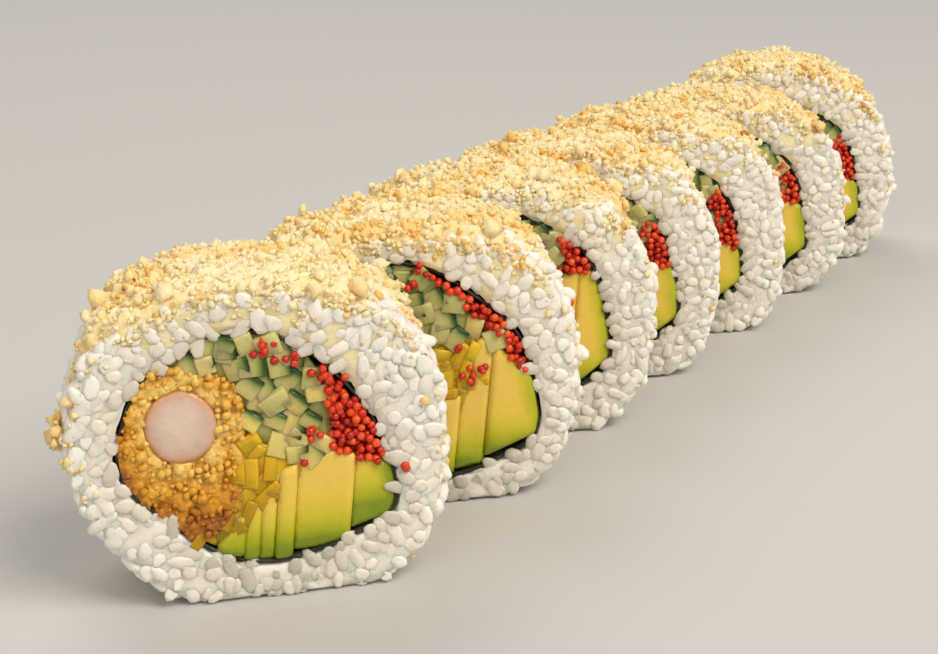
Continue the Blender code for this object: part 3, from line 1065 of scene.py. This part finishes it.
class URAMAKI_OT_crumbs(bpy.types.Operator):
    """Coats the upper outer side of each slice with a crust of fried crumbs"""

    bl_idname = "uramaki.crumbs"
    bl_label = "Crumb coat"

    def execute(self, context):
        settings = context.scene.uramaki_crumbs
        for axes in slices():
            rng = np.random.default_rng(2000 + axes.number)
            ring = RiceRing(axes)
            shapes = [crumb_shape(rng) for _ in range(8)]
            crust = crumb_crust(axes, ring, 0.5)
            add_piece(f"crumb_crust_{axes.number}", axes, [crust], crumb_material())
            parts = [
                outer_crumbs(axes, ring, settings, shapes, rng),
                rim_crumbs(axes, ring, settings, shapes, rng),
            ]
            add_piece(f"crumb_coat_{axes.number}", axes, parts, crumb_material())
        return {"FINISHED"}


def crust_height(axes, points, cover):
    """How far the crust stands above the slice's side."""
    place = points + axes.number * 17.0
    rough = (lumps(place, 2.8, 31) - 0.5) * 1.5 + (lumps(place, 1.3, 33) - 0.5) * 0.9
    rough += (soft_noise(place, 0.75, 35) - 0.5) * 0.7
    return -1.5 + cover * (1.65 + rough)


def crumb_crust(axes, ring, spacing):
    """The fused crumbs under the loose ones, sinking into the rice at its edge."""
    reach = float(ring.reach.mean())
    turns = np.linspace(math.radians(4), math.radians(176), int(3.0 * reach / spacing))
    rows = np.linspace(0.3 - axes.half, axes.half - 0.3, int(2 * axes.half / spacing))
    turn, along = (grid.ravel() for grid in np.meshgrid(turns, rows))
    points, normals, _ = ring.surface(turn, along)
    cover = crumb_cover(ring, points) * np.clip((axes.half - abs(along)) / 1.4, 0, 1)
    verts = points + normals * crust_height(axes, points, cover)[:, None]
    verts[:, 2] = np.minimum(verts[:, 2], CAD_BOX[1][2] / MM + CRUST_RISE - 0.2)
    columns = len(turns)
    corner = (np.arange(len(rows) - 1)[:, None] * columns + np.arange(columns - 1)).ravel()
    faces = np.vstack((
        np.column_stack((corner, corner + columns, corner + 1)),
        np.column_stack((corner + 1, corner + columns, corner + columns + 1)),
    ))
    faces = faces[cover[faces].max(1) > 0.1]
    used, faces = np.unique(faces, return_inverse=True)
    rng = np.random.default_rng(2500 + axes.number)
    tone = crumb_tone(axes, points, rng) * 0.8
    return verts[used], faces.reshape(-1, 3), {"tone": tone[used]}


def crumbs_mesh(axes, centres, size, shapes, rng, tone):
    """Crumbs of uneven shape as one mesh, none above the row's own height by more than its crust."""
    count = len(centres)
    sizes = np.clip(size[:, None] * rng.uniform(0.7, 1.35, (count, 3)), 0.18, 1.5)
    top = CAD_BOX[1][2] / MM + CRUST_RISE
    centres[:, 2] = np.minimum(centres[:, 2], top - sizes.max(1) * 1.2)
    pick = rng.integers(0, len(shapes), count)
    verts, faces, owner = scattered(shapes, pick, centres, random_turns(count, rng), sizes)
    return verts, faces, {"tone": tone[owner]}


def crumb_tone(axes, points, rng):
    """Pale crumbs with golden patches and a few dark specks."""
    place = points + axes.number * 31.0
    patch = soft_noise(place, 6.0, 8) * 0.5 + soft_noise(place, 2.0, 9) * 0.5
    tone = np.clip((patch - 0.36) * 1.5, 0, 0.7) + rng.uniform(-0.08, 0.14, len(points))
    tone[rng.random(len(points)) < 0.012] += 0.45
    return np.clip(tone, 0, 1)


def clump_height(axes, points):
    """How much of the clump lies at a place, from 0 to 1, near the front of its slice."""
    number, middle, radius = CLUMP
    away = np.hypot(points[:, 0] - middle[0], points[:, 2] - middle[1]) / radius
    return np.clip(1.2 - away, 0, 1) * (number == axes.number) * (points[:, 1] < -axes.half / 2)


def outer_crumbs(axes, ring, settings, shapes, rng):
    """Loose crumbs on the outer side, dense on top and sparse low down."""
    reach = float(ring.reach.mean())
    spacing = settings.spacing / MM
    rows = int(2 * math.pi * reach / spacing)
    columns = int(2 * axes.half / spacing)
    grid = np.stack(np.meshgrid(np.arange(rows), np.arange(columns)), -1).reshape(-1, 2)
    grid = grid + rng.uniform(-0.5, 0.5, grid.shape)
    angle = grid[:, 0] / rows * 2 * math.pi
    along = np.clip((grid[:, 1] / columns * 2 - 1) * axes.half, 0.3 - axes.half, axes.half - 0.3)
    points, normals, _ = ring.surface(angle, along)
    cover = crumb_cover(ring, points)
    caught = clump_height(axes, points)
    keep = rng.random(len(points)) < np.maximum(np.maximum(cover, caught) * 0.8, STRAY_SHARE)
    keep &= points[:, 2] > 2.0
    points, normals, cover, caught = points[keep], normals[keep], cover[keep], caught[keep]
    size = settings.size / MM / 2 * rng.lognormal(-0.08, 0.44, len(points))
    size *= np.where(rng.random(len(points)) < 0.03, 1.6, 1.0)
    size = np.where(cover > 0.5, size, size * 0.8) * (1 + 0.7 * caught)
    height = np.maximum(crust_height(axes, points, cover), -0.35) + caught * 0.7
    centres = points + normals * (height + size * rng.uniform(0.0, 0.7, len(points)))[:, None]
    return crumbs_mesh(axes, centres, size, shapes, rng, crumb_tone(axes, points, rng))


def rim_crumbs(axes, ring, settings, shapes, rng):
    """Crumbs that spill over the rims of both cut faces."""
    count = 900
    angle = rng.uniform(-0.35, math.pi + 0.35, count)
    side = rng.choice(FACES, count)
    inset = rng.exponential(1.0, count) - 0.3
    reach = ring.reach_at(angle, side * axes.half) - inset
    size = settings.size / MM / 2 * rng.lognormal(-0.25, 0.35, count)
    centres = np.column_stack((
        ring.middle[0] + reach * np.cos(angle),
        side * (axes.half + size * 0.2 - 0.15),
        ring.middle[1] + reach * np.sin(angle),
    ))
    keep = ~inside(centres[:, [0, 2]], grown(resampled(ring.hole, 1.0), 1.0))
    keep &= rng.random(count) < np.maximum(crumb_cover(ring, centres), 0.20)
    centres, size = centres[keep], size[keep]
    return crumbs_mesh(axes, centres, size, shapes, rng, crumb_tone(axes, centres, rng))


class URAMAKI_OT_nori(bpy.types.Operator):
    """Wraps each filling in a thin wavy sheet of nori"""

    bl_idname = "uramaki.nori"
    bl_label = "Nori"

    def execute(self, context):
        for axes in slices():
            rng = np.random.default_rng(3000 + axes.number)
            outer, inner = (smoothed(resampled(loop, 0.6), 1) for loop in axes.face_loops("nori"))
            inner = grown(inner, 0.15)
            verts, faces = body([outer, inner], axes.half - 0.4, 0.6, rng, stations=5)
            verts = wavy_edge(verts, axes, 0.9)
            add_piece(f"nori_sheet_{axes.number}", axes, [(verts, faces, {})],
                      nori_material(), (f"nori_{axes.number}",))
        return {"FINISHED"}


def wavy_edge(verts, axes, amount):
    """Cut edges that rise and dip along the sheet."""
    wave = soft_noise(verts * (1, 0.02, 1) + axes.number * 7.0, 2.5, 21) - 0.55
    side = np.sign(verts[:, 1]) * (abs(verts[:, 1]) > axes.half - 1.5)
    verts = verts.copy()
    verts[:, 1] += side * wave * amount
    return verts


class URAMAKI_OT_prawn(bpy.types.Operator):
    """Puts the prawn in its batter"""

    bl_idname = "uramaki.prawn"
    bl_label = "Prawn"

    def execute(self, context):
        settings = context.scene.uramaki_filling
        for axes in slices():
            rng = np.random.default_rng(4000 + axes.number)
            outline = grown(smoothed(resampled(axes.face_loops("prawn")[0], 0.7), 3), 0.28)
            verts, faces = body([outline], axes.half - 0.1, settings.face_spacing / MM, rng)
            middle = outline.mean(0)
            reach = np.hypot(verts[:, 0] - middle[0], verts[:, 2] - middle[1])
            edge = reach / np.hypot(*(outline - middle).T).max()
            dome = np.sign(verts[:, 1]) * 0.45 * (1 - edge ** 2)
            on_face = abs(verts[:, 1]) > axes.half - 0.2
            verts[:, 1] += np.where(on_face, dome, 0.0)
            verts[:, 1] += np.where(on_face, (soft_noise(verts, 1.6, 44) - 0.5) * 0.25, 0.0)
            marbling = soft_noise(verts, 2.2, 45) + 0.6 * soft_noise(verts * (1, 1, 2.2), 0.9, 46) - 0.8
            tone = np.clip(edge ** 3 + 0.3 * marbling, 0, 1)
            add_piece(f"prawn_meat_{axes.number}", axes, [(verts, faces, {"tone": tone})],
                      prawn_material(), (f"prawn_{axes.number}",))
        return {"FINISHED"}


class URAMAKI_OT_batter(bpy.types.Operator):
    """Builds the crumbly batter round the prawn"""

    bl_idname = "uramaki.batter"
    bl_label = "Batter"

    def execute(self, context):
        settings = context.scene.uramaki_filling
        for axes in slices():
            rng = np.random.default_rng(5000 + axes.number)
            outline, hole = axes.face_loops("batter")
            outline = grown(smoothed(resampled(outline, 0.5), 3), 0.45)
            hole = smoothed(resampled(hole, 0.6), 2)
            verts, faces = body([outline, hole], axes.half - 0.35, settings.face_spacing / MM, rng)
            on_face = abs(verts[:, 1]) > axes.half - 0.4
            bump = lumps(verts, 1.9, 51) * 0.6 + lumps(verts, 0.9, 52) * 0.4
            verts[:, 1] += np.where(on_face, np.sign(verts[:, 1]) * (bump - 0.6) * 1.5, 0.0)
            crust = [(verts, faces, {"tone": batter_tone(verts, hole, bump)})]
            add_piece(f"batter_crust_{axes.number}", axes, crust, batter_material(),
                      (f"batter_{axes.number}",))
            crumbs = [self.crumbs(axes, outline, hole, side, rng) for side in FACES]
            add_piece(f"batter_crumbs_{axes.number}", axes, crumbs, batter_material())
        return {"FINISHED"}

    def crumbs(self, axes, outline, hole, side, rng):
        """Loose lumps of batter on one cut face."""
        shapes = [crumb_shape(rng) for _ in range(5)]
        rim, core = grown(outline, 0.05), grown(hole, 0.1)

        def between(points):
            return inside(points, rim) & ~inside(points, core)

        spots = spread_points(rim.min(0), rim.max(0), 0.72, 5000, rng, between)
        count = len(spots)
        sizes = np.minimum(0.41 * rng.lognormal(0.0, 0.45, count), 0.78)[:, None] * rng.uniform(0.7, 1.3, (count, 3))
        centres = np.column_stack((
            spots[:, 0], side * (axes.half - 0.25 + rng.uniform(-0.3, 0.25, count)), spots[:, 1],
        ))
        pick = rng.integers(0, len(shapes), count)
        verts, faces, owner = scattered(shapes, pick, centres, random_turns(count, rng), sizes)
        tone = batter_tone(centres, hole, rng.uniform(0.3, 0.9, count))
        return verts, faces, {"tone": tone[owner]}


def batter_tone(points, hole, bump):
    """Creamy near the prawn, browner outside, lower down and towards the left, with painted shade making the seams
    browner.
    """
    away = distance_to(points[:, [0, 2]], hole)
    low = np.clip((hole[:, 1].min() - points[:, 2]) / 4, 0, 1)
    left = np.clip((hole[:, 0].min() - points[:, 0]) / 3, 0, 1)
    # The bump term is painted shade on the crust: its sunken seams come out browner.
    return np.clip(away * 0.12 + low * 0.06 + left * 0.48 - (bump - 0.5) * 0.4, 0, 1)


def strip_shape():
    """A cucumber or pickle strip: a unit box with rounded edges, long along the second axis."""
    steps = np.array((-1.0, -0.84, 0.84, 1.0))
    verts, index, faces = [], {}, []

    def vertex(point):
        key = tuple(round(v, 4) for v in point)
        if key not in index:
            index[key] = len(verts)
            verts.append(point)
        return index[key]

    for axis, side in itertools.product(range(3), (-1.0, 1.0)):
        for i, j in itertools.product(range(3), range(3)):
            quad = []
            for a, b in ((i, j), (i + 1, j), (i + 1, j + 1), (i, j + 1)):
                point = [0.0, 0.0, 0.0]
                point[axis] = side
                point[(axis + 1) % 3] = steps[a]
                point[(axis + 2) % 3] = steps[b]
                quad.append(vertex(tuple(point)))
            if side < 0:
                quad = quad[::-1]
            faces += [(quad[0], quad[1], quad[2]), (quad[0], quad[2], quad[3])]
    verts = np.array(verts)
    corner = np.maximum(np.abs(verts) - 0.84, 0) / 0.16
    length = np.linalg.norm(corner, axis=1)
    scale = np.where(length > 1, 1 / np.maximum(length, 1e-9), 1.0)
    verts = np.sign(verts) * (np.minimum(np.abs(verts), 0.84) + corner * 0.16 * scale[:, None])
    return verts, np.array(faces)


def strips_along(count, side, lean, rng):
    """Turns for strips that run mostly along the slice, their ends leaning on the face."""
    along = np.column_stack((rng.normal(0, 0.14, count), np.full(count, float(side)), rng.normal(0, 0.14, count)))
    along /= np.linalg.norm(along, axis=1)[:, None]
    first = np.column_stack((np.cos(lean), np.zeros(count), np.sin(lean)))
    first -= along * (first * along).sum(1)[:, None]
    first /= np.linalg.norm(first, axis=1)[:, None]
    return np.stack((first, along, np.cross(first, along)), 2)


def uneven_rows(room, spacing, rng):
    """Places in loose rows inside an outline."""
    low, high = room.min(0), room.max(0)
    columns = np.arange(low[0], high[0] + spacing, spacing)
    rows = np.arange(low[1], high[1] + spacing, spacing)
    spots = np.array([(x + (k % 2) * spacing / 2, y) for k, y in enumerate(rows) for x in columns])
    spots += rng.uniform(-0.28, 0.28, spots.shape) * spacing
    return spots[inside(spots, room)]


class URAMAKI_OT_cucumber(bpy.types.Operator):
    """Packs the cucumber layer with thin strips cut across"""

    bl_idname = "uramaki.cucumber"
    bl_label = "Cucumber"

    def execute(self, context):
        settings = context.scene.uramaki_filling
        for axes in slices():
            rng = np.random.default_rng(6000 + axes.number)
            outline = resampled(axes.face_loops("cucumber")[0], 0.8)
            verts, faces = body([grown(smoothed(outline, 2), 0.15)], axes.half - 0.9, 1.2, rng)
            count = len(verts)
            # The filler behind the strips takes a dark tone and some green: painted shade in the gaps between them.
            parts = [(verts, faces, {"tone": np.full(count, 0.8), "skin": np.full(count, 0.45)})]
            parts += [self.strips(axes, outline, side, settings.strip / MM, rng) for side in FACES]
            add_piece(f"cucumber_strips_{axes.number}", axes, parts, cucumber_material(),
                      (f"cucumber_{axes.number}",))
        return {"FINISHED"}

    def along_wall(self, axes, width):
        """Places for strips that lie against the nori, from where the roe stops to the top."""
        wall = axes.face_loops("nori")[1]
        line = grown(resampled(smoothed(resampled(wall, 1.0), 2), width * 0.9), -width * 0.42)
        across, up = (line - wall.mean(0)).T
        turn = np.degrees(np.arctan2(up, across))
        start = ROE_BANDS.get(axes.number, OTHER_ROE_BAND)[1]
        return line[(turn > start) & (turn < 112)]

    def strips(self, axes, outline, side, width, rng):
        """Strips packed in uneven rows, whose ends show on one cut face."""
        room = shrunk(outline, width * 0.14)
        spare = uneven_rows(grown(resampled(axes.face_loops("roe")[0], 0.7), -0.3), width * 0.86, rng)
        wall = self.along_wall(axes, width)
        spots = np.vstack((uneven_rows(room, width * 0.86, rng), spare[~holds_roe(axes, spare)], wall))
        count = len(spots)
        lean = rng.choice((0.1, 0.55, 1.0), count) + rng.normal(0.0, 0.2, count)
        turns = strips_along(count, side, lean, rng)
        half = width / 2
        sizes = np.column_stack((
            half * rng.uniform(0.7, 1.3, count), np.full(count, 2.6), half * rng.uniform(0.7, 1.3, count),
        ))
        ends = axes.half + rng.uniform(-0.6, 0.12, count)
        centres = np.column_stack((spots[:, 0], side * ends, spots[:, 1]))
        centres -= turns[:, :, 1] * sizes[:, 1:2]
        shape = strip_shape()
        verts, faces, owner = scattered([shape], np.zeros(count, int), centres, turns, sizes)
        local = np.tile(shape[0][:, 0], count)
        skin = np.where((rng.random(count) < 0.5)[owner], local * 0.5 + 0.5, 0.12 + 0.08 * local)
        high = (spots[:, 1] - spots[:, 1].min()) / np.ptp(spots[:, 1])
        # Painted shade: strips on the slices behind the first get a darker base tone; strips higher up also come out
        # darker.
        pale = 0.05 if axes.number == 1 else 0.35
        tone = np.clip(pale + 0.5 * high + rng.uniform(-0.25, 0.3, count), 0, 1)
        return verts, faces, {"tone": tone[owner], "skin": skin}


def holds_roe(axes, points):
    """Whether beads, rather than strips of cucumber, fill these places of the roe's outline."""
    wall = resampled(axes.face_loops("nori")[1], 1.0)
    across, up = (points - wall.mean(0)).T
    band, top = ROE_BANDS.get(axes.number, OTHER_ROE_BAND)
    return (distance_to(points, wall) < band) & (np.degrees(np.arctan2(up, across)) < top)


class URAMAKI_OT_roe(bpy.types.Operator):
    """Fills the roe layer with beads and drops a few stray ones"""

    bl_idname = "uramaki.roe"
    bl_label = "Roe"

    def execute(self, context):
        settings = context.scene.uramaki_filling
        bead = settings.bead / MM
        for axes in slices():
            rng = np.random.default_rng(7000 + axes.number)
            outline = resampled(axes.face_loops("roe")[0], 0.7)
            verts, faces = body([shrunk(outline, 0.3)], axes.half - 0.9, 0.9, rng)
            # The filler behind the beads takes a dark tone: painted shade in the gaps between them.
            parts = [(verts, faces, {"tone": np.full(len(verts), 0.1)})]
            parts += [self.beads(axes, grown(outline, 0.4), side, bead, rng) for side in FACES]
            parts += [stray_beads(axes, side, bead, rng) for side in FACES]
            add_piece(f"roe_beads_{axes.number}", axes, parts, roe_material(),
                      (f"roe_{axes.number}",))
        return {"FINISHED"}

    def beads(self, axes, outline, side, bead, rng):
        """Beads of roe in two layers on one cut face."""
        room = shrunk(outline, bead * 0.3)
        centres = []
        for depth, spacing in ((0.6, 0.80), (-0.05, 0.86)):
            spots = spread_points(room.min(0), room.max(0), bead * spacing, 3000, rng,
                                  lambda points: inside(points, room) & holds_roe(axes, points))
            along = side * (axes.half - depth + rng.uniform(-0.25, 0.25, len(spots)))
            centres.append(np.column_stack((spots[:, 0], along, spots[:, 1])))
        centres = np.vstack(centres)
        count = len(centres)
        sizes = np.repeat(bead / 2 * rng.uniform(0.86, 1.1, (count, 1)), 3, axis=1)
        verts, faces, owner = scattered(
            [ball(8, 5)], np.zeros(count, int), centres, random_turns(count, rng), sizes
        )
        return verts, faces, {"tone": rng.uniform(0.1, 0.9, count)[owner]}


def stray_beads(axes, side, bead, rng):
    """Beads that slipped among the cucumber and on to the rice, in a few small clusters."""
    middle = axes.face_loops("nori")[1].mean(0)
    spots = []
    for place, spread, count in STRAY_ROE.get(axes.number, OTHER_STRAY_ROE):
        spots.append(middle + place + rng.normal(0, spread, (count, 2)))
    spots = np.vstack(spots)
    count = len(spots)
    along = side * (axes.half + rng.uniform(-0.15, 0.2, count))
    centres = np.column_stack((spots[:, 0], along, spots[:, 1]))
    sizes = np.repeat(bead / 2 * rng.uniform(0.86, 1.1, (count, 1)), 3, axis=1)
    verts, faces, owner = scattered(
        [ball(8, 5)], np.zeros(count, int), centres, random_turns(count, rng), sizes
    )
    return verts, faces, {"tone": rng.uniform(0.1, 0.7, count)[owner]}


def cut_by_line(loop, point, direction):
    """The part of a loop on the left of a line."""
    result = []
    normal = np.array((-direction[1], direction[0]))
    side = (loop - point) @ normal
    for k in range(len(loop)):
        after = (k + 1) % len(loop)
        if side[k] >= 0:
            result.append(loop[k])
        if (side[k] >= 0) != (side[after] >= 0):
            share = side[k] / (side[k] - side[after])
            result.append(loop[k] + share * (loop[after] - loop[k]))
    return np.array(result)


def cut_into(loop, middle, cuts, feet):
    """Pieces of an outline between leaning cuts, from left to right, each with a straight foot."""
    lines = [(middle + (place, 0.0), np.array((0.14, 1.0))) for place in cuts]
    pieces = []
    for k, (gap, slope) in enumerate(feet):
        piece = loop
        if k > 0:
            piece = cut_by_line(piece, lines[k - 1][0], -lines[k - 1][1])
        if k < len(lines) and len(piece) > 2:
            piece = cut_by_line(piece, *lines[k])
        if len(piece) > 2 and signed_area(piece) > 3.0:
            foot = piece[piece[:, 1].argmin()] + (0.0, gap)
            pieces.append(cut_by_line(piece, foot, np.array((1.0, slope))))
    return [piece for piece in pieces if len(piece) > 2 and signed_area(piece) > 3.0]


class URAMAKI_OT_avocado(bpy.types.Operator):
    """Lays a fan of avocado slices under the cucumber and roe"""

    bl_idname = "uramaki.avocado"
    bl_label = "Avocado"

    def execute(self, context):
        settings = context.scene.uramaki_filling
        for axes in slices():
            rng = np.random.default_rng(8000 + axes.number)
            outline = grown(resampled(axes.face_loops("avocado")[0], 0.6), 0.45)
            wall = resampled(axes.face_loops("nori")[1], 1.0)
            cuts, feet = AVOCADO_CUTS.get(axes.number, OTHER_AVOCADO_CUTS)
            parts = []
            for piece in cut_into(outline, wall.mean(0), cuts, feet):
                piece = smoothed(grown(resampled(piece, 0.45), 0.04), 1)
                verts, faces = body([piece], axes.half + rng.uniform(-0.3, 0.2),
                                    settings.face_spacing / MM, rng, 7)
                verts = self.shaped(verts, piece, axes, rng)
                skin = np.clip(1.0 - distance_to(verts[:, [0, 2]], wall) / 4.0, 0, 1) * 0.9
                foot = np.clip(1.1 - (verts[:, 2] - piece[:, 1].min()) / 9.0, 0, 1)
                narrow = 0.25 if np.ptp(piece[:, 1]) < 11.0 and piece[:, 0].mean() > 10 else 0.0
                tone = np.clip(np.maximum(skin, foot) + narrow + rng.uniform(-0.04, 0.08), 0, 1)
                parts.append((verts, faces, {"tone": tone}))
            add_piece(f"avocado_slices_{axes.number}", axes, parts, avocado_material(),
                      (f"avocado_{axes.number}",))
        return {"FINISHED"}

    def shaped(self, verts, piece, axes, rng):
        """Soft rounded face edges and a slightly slanted, uneven cut."""
        edge = np.clip(distance_to(verts[:, [0, 2]], piece) / 0.7, 0, 1)
        slant = rng.uniform(-0.05, 0.05, 2)
        middle = piece.mean(0)
        lean = (verts[:, [0, 2]] - middle) @ slant
        uneven = (soft_noise(verts, 3.0, 81) - 0.5) * 0.3
        on_face = abs(verts[:, 1]) > axes.half - 0.6
        push = np.where(on_face, lean + uneven - 0.35 * (1 - edge) ** 2, 0.0)
        verts = verts.copy()
        verts[:, 1] += np.sign(verts[:, 1]) * push
        return verts


class URAMAKI_OT_pickle(bpy.types.Operator):
    """Lays strips of pickled radish between the batter and the avocado"""

    bl_idname = "uramaki.pickle"
    bl_label = "Pickled radish"

    def execute(self, context):
        settings = context.scene.uramaki_filling
        for axes in slices():
            rng = np.random.default_rng(9000 + axes.number)
            outline = resampled(axes.face_loops("pickle")[0], 0.5)
            verts, faces = body([outline], axes.half - 0.7, settings.face_spacing / MM * 1.8, rng)
            on_face = abs(verts[:, 1]) > axes.half - 0.8
            bump = lumps(verts, 2.4, 91) - 0.5
            verts[:, 1] += np.where(on_face, np.sign(verts[:, 1]) * bump * 0.6, 0.0)
            # Painted shade: the sunken seams between the lumps come out darker.
            parts = [(verts, faces, {"tone": np.clip(0.5 - bump * 0.5, 0, 1)})]
            parts += [self.strips(axes, outline, side, rng) for side in FACES]
            add_piece(f"pickle_strips_{axes.number}", axes, parts, pickle_material(),
                      (f"pickle_{axes.number}",))
        return {"FINISHED"}

    def strips(self, axes, outline, side, rng):
        """Slips of radish whose ends show on one cut face."""
        spots = uneven_rows(grown(smoothed(outline, 4), 0.6), 1.9, rng)
        count = len(spots)
        turns = strips_along(count, side, rng.normal(0.9, 0.5, count), rng)
        sizes = np.column_stack((
            rng.uniform(1.3, 2.3, count), np.full(count, 2.4), rng.uniform(0.7, 1.2, count),
        ))
        ends = axes.half + rng.uniform(-0.55, 0.1, count)
        centres = np.column_stack((spots[:, 0], side * ends, spots[:, 1]))
        centres -= turns[:, :, 1] * sizes[:, 1:2]
        verts, faces, owner = scattered([strip_shape()], np.zeros(count, int), centres, turns, sizes)
        low = 1 - (spots[:, 1] - spots[:, 1].min()) / np.ptp(spots[:, 1])
        tone = np.clip(0.55 * low + rng.uniform(-0.1, 0.45, count), 0, 1)
        return verts, faces, {"tone": tone[owner]}


class URAMAKI_OT_stage(bpy.types.Operator):
    """Sets the plain floor, the soft studio lights and the camera"""

    bl_idname = "uramaki.stage"
    bl_label = "Stage"

    def execute(self, context):
        settings = context.scene.uramaki_stage
        self.floor(settings)
        self.light("key_light", (-0.25, -1.05, 1.05), 0.9, 18.5)
        self.light("fill_light", (-1.25, -0.15, 0.75), 0.9, 4.6)
        self.light("back_light", (0.55, 0.75, 1.10), 0.9, 7.6)
        world = bpy.data.worlds.new("studio_air")
        world.use_nodes = True
        world.node_tree.nodes["Background"].inputs["Color"].default_value = (1.0, 0.97, 0.93, 1.0)
        world.node_tree.nodes["Background"].inputs["Strength"].default_value = 0.24
        context.scene.world = world
        context.scene.view_settings.view_transform = "Standard"
        self.camera(context, settings)
        return {"FINISHED"}

    def floor(self, settings):
        """A plain pale floor."""
        mesh = bpy.data.meshes.new("floor")
        reach = 3.0
        mesh.from_pydata([(-reach, -reach, 0), (reach, -reach, 0), (reach, reach, 0), (-reach, reach, 0)],
                         [], [(0, 1, 2, 3)])
        material = bpy.data.materials.new("floor_paint")
        material.use_nodes = True
        shader = material.node_tree.nodes["Principled BSDF"]
        shader.inputs["Base Color"].default_value = (*settings.floor_color, 1.0)
        shader.inputs["Roughness"].default_value = 0.8
        mesh.materials.append(material)
        floor = bpy.data.objects.new("floor", mesh)
        bpy.context.scene.collection.objects.link(floor)

    def light(self, name, place, size, power):
        """A soft square light aimed at the row."""
        data = bpy.data.lights.new(name, "AREA")
        data.color = (1.0, 0.93, 0.84)
        data.size = size
        data.energy = power
        light = bpy.data.objects.new(name, data)
        light.location = place
        way = Vector((0.0, 0.0, 0.02)) - Vector(place)
        light.rotation_euler = way.to_track_quat("-Z", "Y").to_euler()
        bpy.context.scene.collection.objects.link(light)

    def camera(self, context, settings):
        """The camera, which looks along the row from its first slice."""
        data = bpy.data.cameras.new("camera")
        data.lens = settings.lens
        data.sensor_width = 36.0
        data.clip_start = 0.01
        camera = bpy.data.objects.new("camera", data)
        turn = (
            Matrix.Rotation(settings.heading - math.pi / 2, 4, "Z")
            @ Matrix.Rotation(math.pi / 2 - settings.pitch, 4, "X")
            @ Matrix.Rotation(settings.roll, 4, "Z")
        )
        camera.matrix_world = Matrix.Translation(settings.camera_distance) @ turn
        context.scene.collection.objects.link(camera)
        context.scene.camera = camera


OPERATORS = (
    URAMAKI_OT_rice, URAMAKI_OT_crumbs, URAMAKI_OT_nori, URAMAKI_OT_prawn, URAMAKI_OT_batter,
    URAMAKI_OT_cucumber, URAMAKI_OT_roe, URAMAKI_OT_pickle, URAMAKI_OT_avocado, URAMAKI_OT_stage,
)
SETTINGS = (
    ("uramaki_rice", RiceSettings), ("uramaki_crumbs", CrumbSettings),
    ("uramaki_filling", FillingSettings), ("uramaki_stage", StageSettings),
)


class URAMAKI_PT_panel(bpy.types.Panel):
    """Lists the roll's pieces and their sizes"""

    bl_label = "Uramaki roll"
    bl_space_type = "VIEW_3D"
    bl_region_type = "UI"
    bl_category = "Uramaki"

    def draw(self, context):
        for name, group in SETTINGS:
            box = self.layout.box()
            box.label(text=group.__doc__)
            for key in group.__annotations__:
                box.prop(getattr(context.scene, name), key)
        for operator in OPERATORS:
            self.layout.operator(operator.bl_idname)


def register():
    for name, group in SETTINGS:
        bpy.utils.register_class(group)
        setattr(bpy.types.Scene, name, PointerProperty(type=group))
    for operator in OPERATORS:
        bpy.utils.register_class(operator)
    bpy.utils.register_class(URAMAKI_PT_panel)


def unregister():
    bpy.utils.unregister_class(URAMAKI_PT_panel)
    for operator in reversed(OPERATORS):
        bpy.utils.unregister_class(operator)
    for name, group in reversed(SETTINGS):
        delattr(bpy.types.Scene, name)
        bpy.utils.unregister_class(group)


def main():
    """Builds every piece in order."""
    register()
    for operator in OPERATORS:
        section, name = operator.bl_idname.split(".")
        getattr(getattr(bpy.ops, section), name)()


if __name__ == "__main__":
    main()
